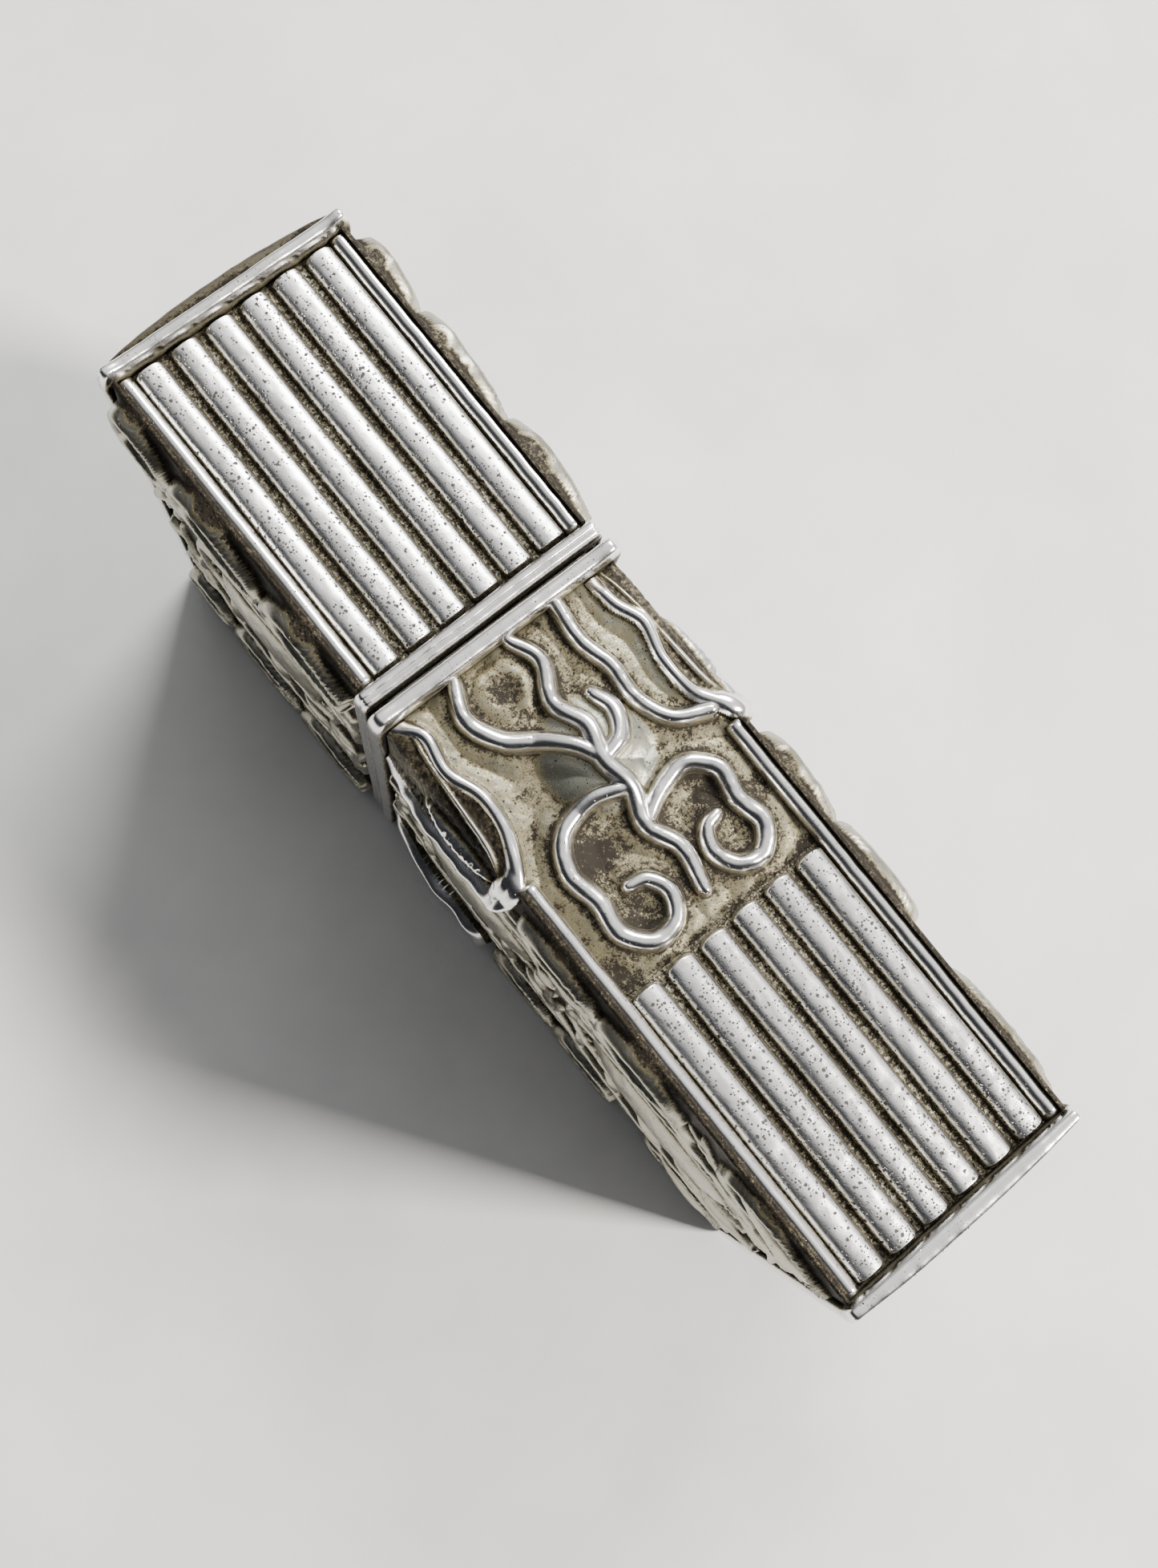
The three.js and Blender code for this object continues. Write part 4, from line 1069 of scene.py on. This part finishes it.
def build_scroll():
    """The rolled parchment: one long spiral strip, its ends slightly uneven."""
    low, high = span("parchment_scroll", 1)
    x0, x1 = span("scroll_thread", 0)
    z0, z1 = span("scroll_thread", 2)
    centre_x, centre_z = (x0 + x1) / 2, (z0 + z1) / 2
    outer, core, thick, pitch = 7.35, 1.6, 0.22, 0.62
    turns = (outer - core - thick) / pitch
    steps = int(turns * 56)
    angle = np.linspace(0, 2 * np.pi * turns, steps)
    radius = core + pitch * angle / (2 * np.pi)
    rows = np.linspace(0, 1, 50)
    points = []
    for row in rows:
        waist = 1 - 0.012 * math.sin(math.pi * row)
        slack = 0.05 * wobble(angle * 0.8, np.full(steps, row * 6.0), 3.0, 5)
        slide = 0.35 * np.sin(angle * 0.37 + 1.0) + 0.5 * (angle / angle[-1] - 0.5)
        y = low + 0.8 + (high - low - 1.6) * row + slide
        for extra in (0.0, thick):
            r = (radius + extra + slack) * waist
            points.append(np.stack([centre_x + r * np.cos(angle), y, centre_z + r * np.sin(angle)], -1))
    grid = np.array(points).reshape(len(rows), 2, steps, 3)
    ring = np.concatenate([grid[:, 0], grid[:, 1, ::-1]], axis=1)
    n, k = ring.shape[:2]
    index = np.arange(n * k).reshape(n, k)
    beside = np.roll(index, -1, 1)
    sides = np.stack([index[:-1], index[1:], beside[1:], beside[:-1]], -1).reshape(-1, 4)
    caps = []
    for row, flip in ((0, False), (n - 1, True)):
        inner, outer_edge = index[row][:steps], index[row][steps:][::-1]
        cap = np.stack([inner[:-1], inner[1:], outer_edge[1:], outer_edge[:-1]], -1)
        caps.append(cap[:, ::-1] if flip else cap)
    quads = np.concatenate([sides] + caps)
    shade = np.zeros((n, k))
    shade[[0, -1]] = 0.55
    shade[[1, -2]] = 0.25
    add_piece("parchment_scroll", "scroll", ring.reshape(-1, 3), quads, [], PARCHMENT, shade)


def build_thread():
    """Two twisted strands round the roll."""
    x0, x1 = span("scroll_thread", 0)
    y0, y1 = span("scroll_thread", 1)
    z0, z1 = span("scroll_thread", 2)
    centre = np.array([(x0 + x1) / 2, (y0 + y1) / 2, (z0 + z1) / 2])
    mean = (x1 - x0) / 2 - 0.36
    turn = np.linspace(0, 2 * np.pi, 260, endpoint=False)
    strands = []
    for phase in (0, np.pi):
        twist = turn * 34 + phase
        r = mean - 0.1 + 0.14 * np.cos(twist)
        x, z = centre[0] + r * np.cos(turn), centre[2] + r * np.sin(turn)
        strands.append(np.stack([x, centre[1] + 0.14 * np.sin(twist), z], -1))
    rings = []
    for path in strands:
        tangent = np.roll(path, -1, 0) - np.roll(path, 1, 0)
        tangent /= np.linalg.norm(tangent, axis=1)[:, None]
        side = np.cross(tangent, (0, 1, 0))
        side /= np.linalg.norm(side, axis=1)[:, None]
        up = np.cross(side, tangent)
        around = np.linspace(0, 2 * np.pi, 8, endpoint=False)[None, :, None]
        rings.append(path[:, None] + 0.17 * (np.cos(around) * side[:, None] + np.sin(around) * up[:, None]))
    for name, strand in zip(("scroll_thread", "scroll_thread_strand"), rings):
        loft_piece(name, "scroll", strand, LINEN, 0.0, closed=True, node="scroll_thread")


# ---- stage ------------------------------------------------------------------------------------

def build_stage():
    """A plain pale floor under the case."""
    mesh = bpy.data.meshes.new("floor")
    half, thick = 2.0, 0.02
    square = ((-half, -half), (half, -half), (half, half), (-half, half))
    corners = [(x, y, z) for z in (-thick, 0) for x, y in square]
    faces = [(3, 2, 1, 0), (4, 5, 6, 7), (0, 1, 5, 4), (1, 2, 6, 5), (2, 3, 7, 6), (3, 0, 4, 7)]
    mesh.from_pydata(corners, [], faces)
    mesh.materials.append(stone_floor_material())
    floor = bpy.data.objects.new("floor", mesh)
    bpy.context.scene.collection.objects.link(floor)


def add_light(name, place, target, size, power, colour=(1, 1, 1)):
    light = bpy.data.lights.new(name, "AREA")
    light.shape = "RECTANGLE"
    light.size, light.size_y = size
    light.energy = power
    light.color = colour
    lamp = bpy.data.objects.new(name, light)
    lamp.location = place
    lamp.rotation_euler = (Vector(target) - Vector(place)).to_track_quat("-Z", "Y").to_euler()
    bpy.context.scene.collection.objects.link(lamp)


def build_lights():
    target = (0, 0, 0.02)
    add_light("key", (0.32, -0.44, 0.44), target, (0.12, 0.12), 14.0, (1.0, 0.95, 0.88))
    add_light("side", (0.47, 0.26, 0.48), target, (0.30, 0.30), 9.0, (1.0, 0.99, 0.97))
    world = bpy.data.worlds.new("studio")
    world.use_nodes = True
    tree = world.node_tree
    place = tree.nodes.new("ShaderNodeTexCoord")
    toward = tree.nodes.new("ShaderNodeVectorMath")
    toward.operation = "DOT_PRODUCT"
    toward.inputs[1].default_value = Vector((0.60, 0.25, 0.76)).normalized()
    tree.links.new(place.outputs["Generated"], toward.inputs[0])
    ramp = tree.nodes.new("ShaderNodeValToRGB")
    points = ramp.color_ramp.elements
    points[0].position, points[0].color = 0.0, (0.022, 0.024, 0.028, 1)
    points[1].position, points[1].color = 0.80, (1.0, 1.0, 1.0, 1)
    middle = points.new(0.36)
    middle.color = (0.075, 0.080, 0.092, 1)
    tree.links.new(toward.outputs["Value"], ramp.inputs["Fac"])
    tree.links.new(ramp.outputs["Color"], tree.nodes["Background"].inputs["Color"])
    tree.nodes["Background"].inputs["Strength"].default_value = 1.02
    bpy.context.scene.world = world


def build_camera():
    """Close above the fluted front, with the case lying across the frame and its lid up and left."""
    eye = Vector((-19.97, -8.25, 141.75)) * MM
    ahead = Vector((0.179, 0.0638, -0.9818)).normalized()
    up_hint = Vector((0.6086, 0.7769, 0.1615))
    focal_share = 0.9584356  # focal length over the picture's long side
    right = ahead.cross(up_hint).normalized()
    up = right.cross(ahead)
    data = bpy.data.cameras.new("camera")
    data.sensor_width = 36.0
    data.lens = 36.0 * focal_share
    data.clip_start = 0.005
    camera = bpy.data.objects.new("camera", data)
    turn = Matrix((right, up, -ahead)).transposed().to_4x4()
    camera.matrix_world = Matrix.Translation(eye) @ turn
    bpy.context.scene.collection.objects.link(camera)
    bpy.context.scene.camera = camera


# ---- assembly ---------------------------------------------------------------------------------

for number, side in enumerate(SIDES):
    for part in (LID, BODY):
        seed = 100 * number + (10 if part is LID else 50)
        build_flutes(part, side, seed)
        build_edge_wire(part, side, -1, seed + 5)
        build_edge_wire(part, side, 1, seed + 7)
    build_ornament(side, seed=300 + number)
    build_tongue(side, -1, LEFT_WAVE, seed=3)
    build_tongue(side, 1, RIGHT_WAVE, seed=4)

for part in (LID, BODY):
    for turned in (False, True):
        build_wide(part, turned, seed=500 + 10 * turned + (part is LID))

RIMS = (("lid_end_rim", "lid"), ("lid_mouth_rim", "lid"), ("body_mouth_rim", "case"),
        ("body_end_rim", "case"))
for number, (name, body) in enumerate(RIMS):
    build_rim(name, body, seed=700 + 3 * number)
build_end("lid_end_plate", "lid", 1, seed=801)
build_end("body_end_plate", "case", -1, seed=802)
build_collar()
build_scroll()
build_thread()
build_stage()
build_lights()
build_camera()
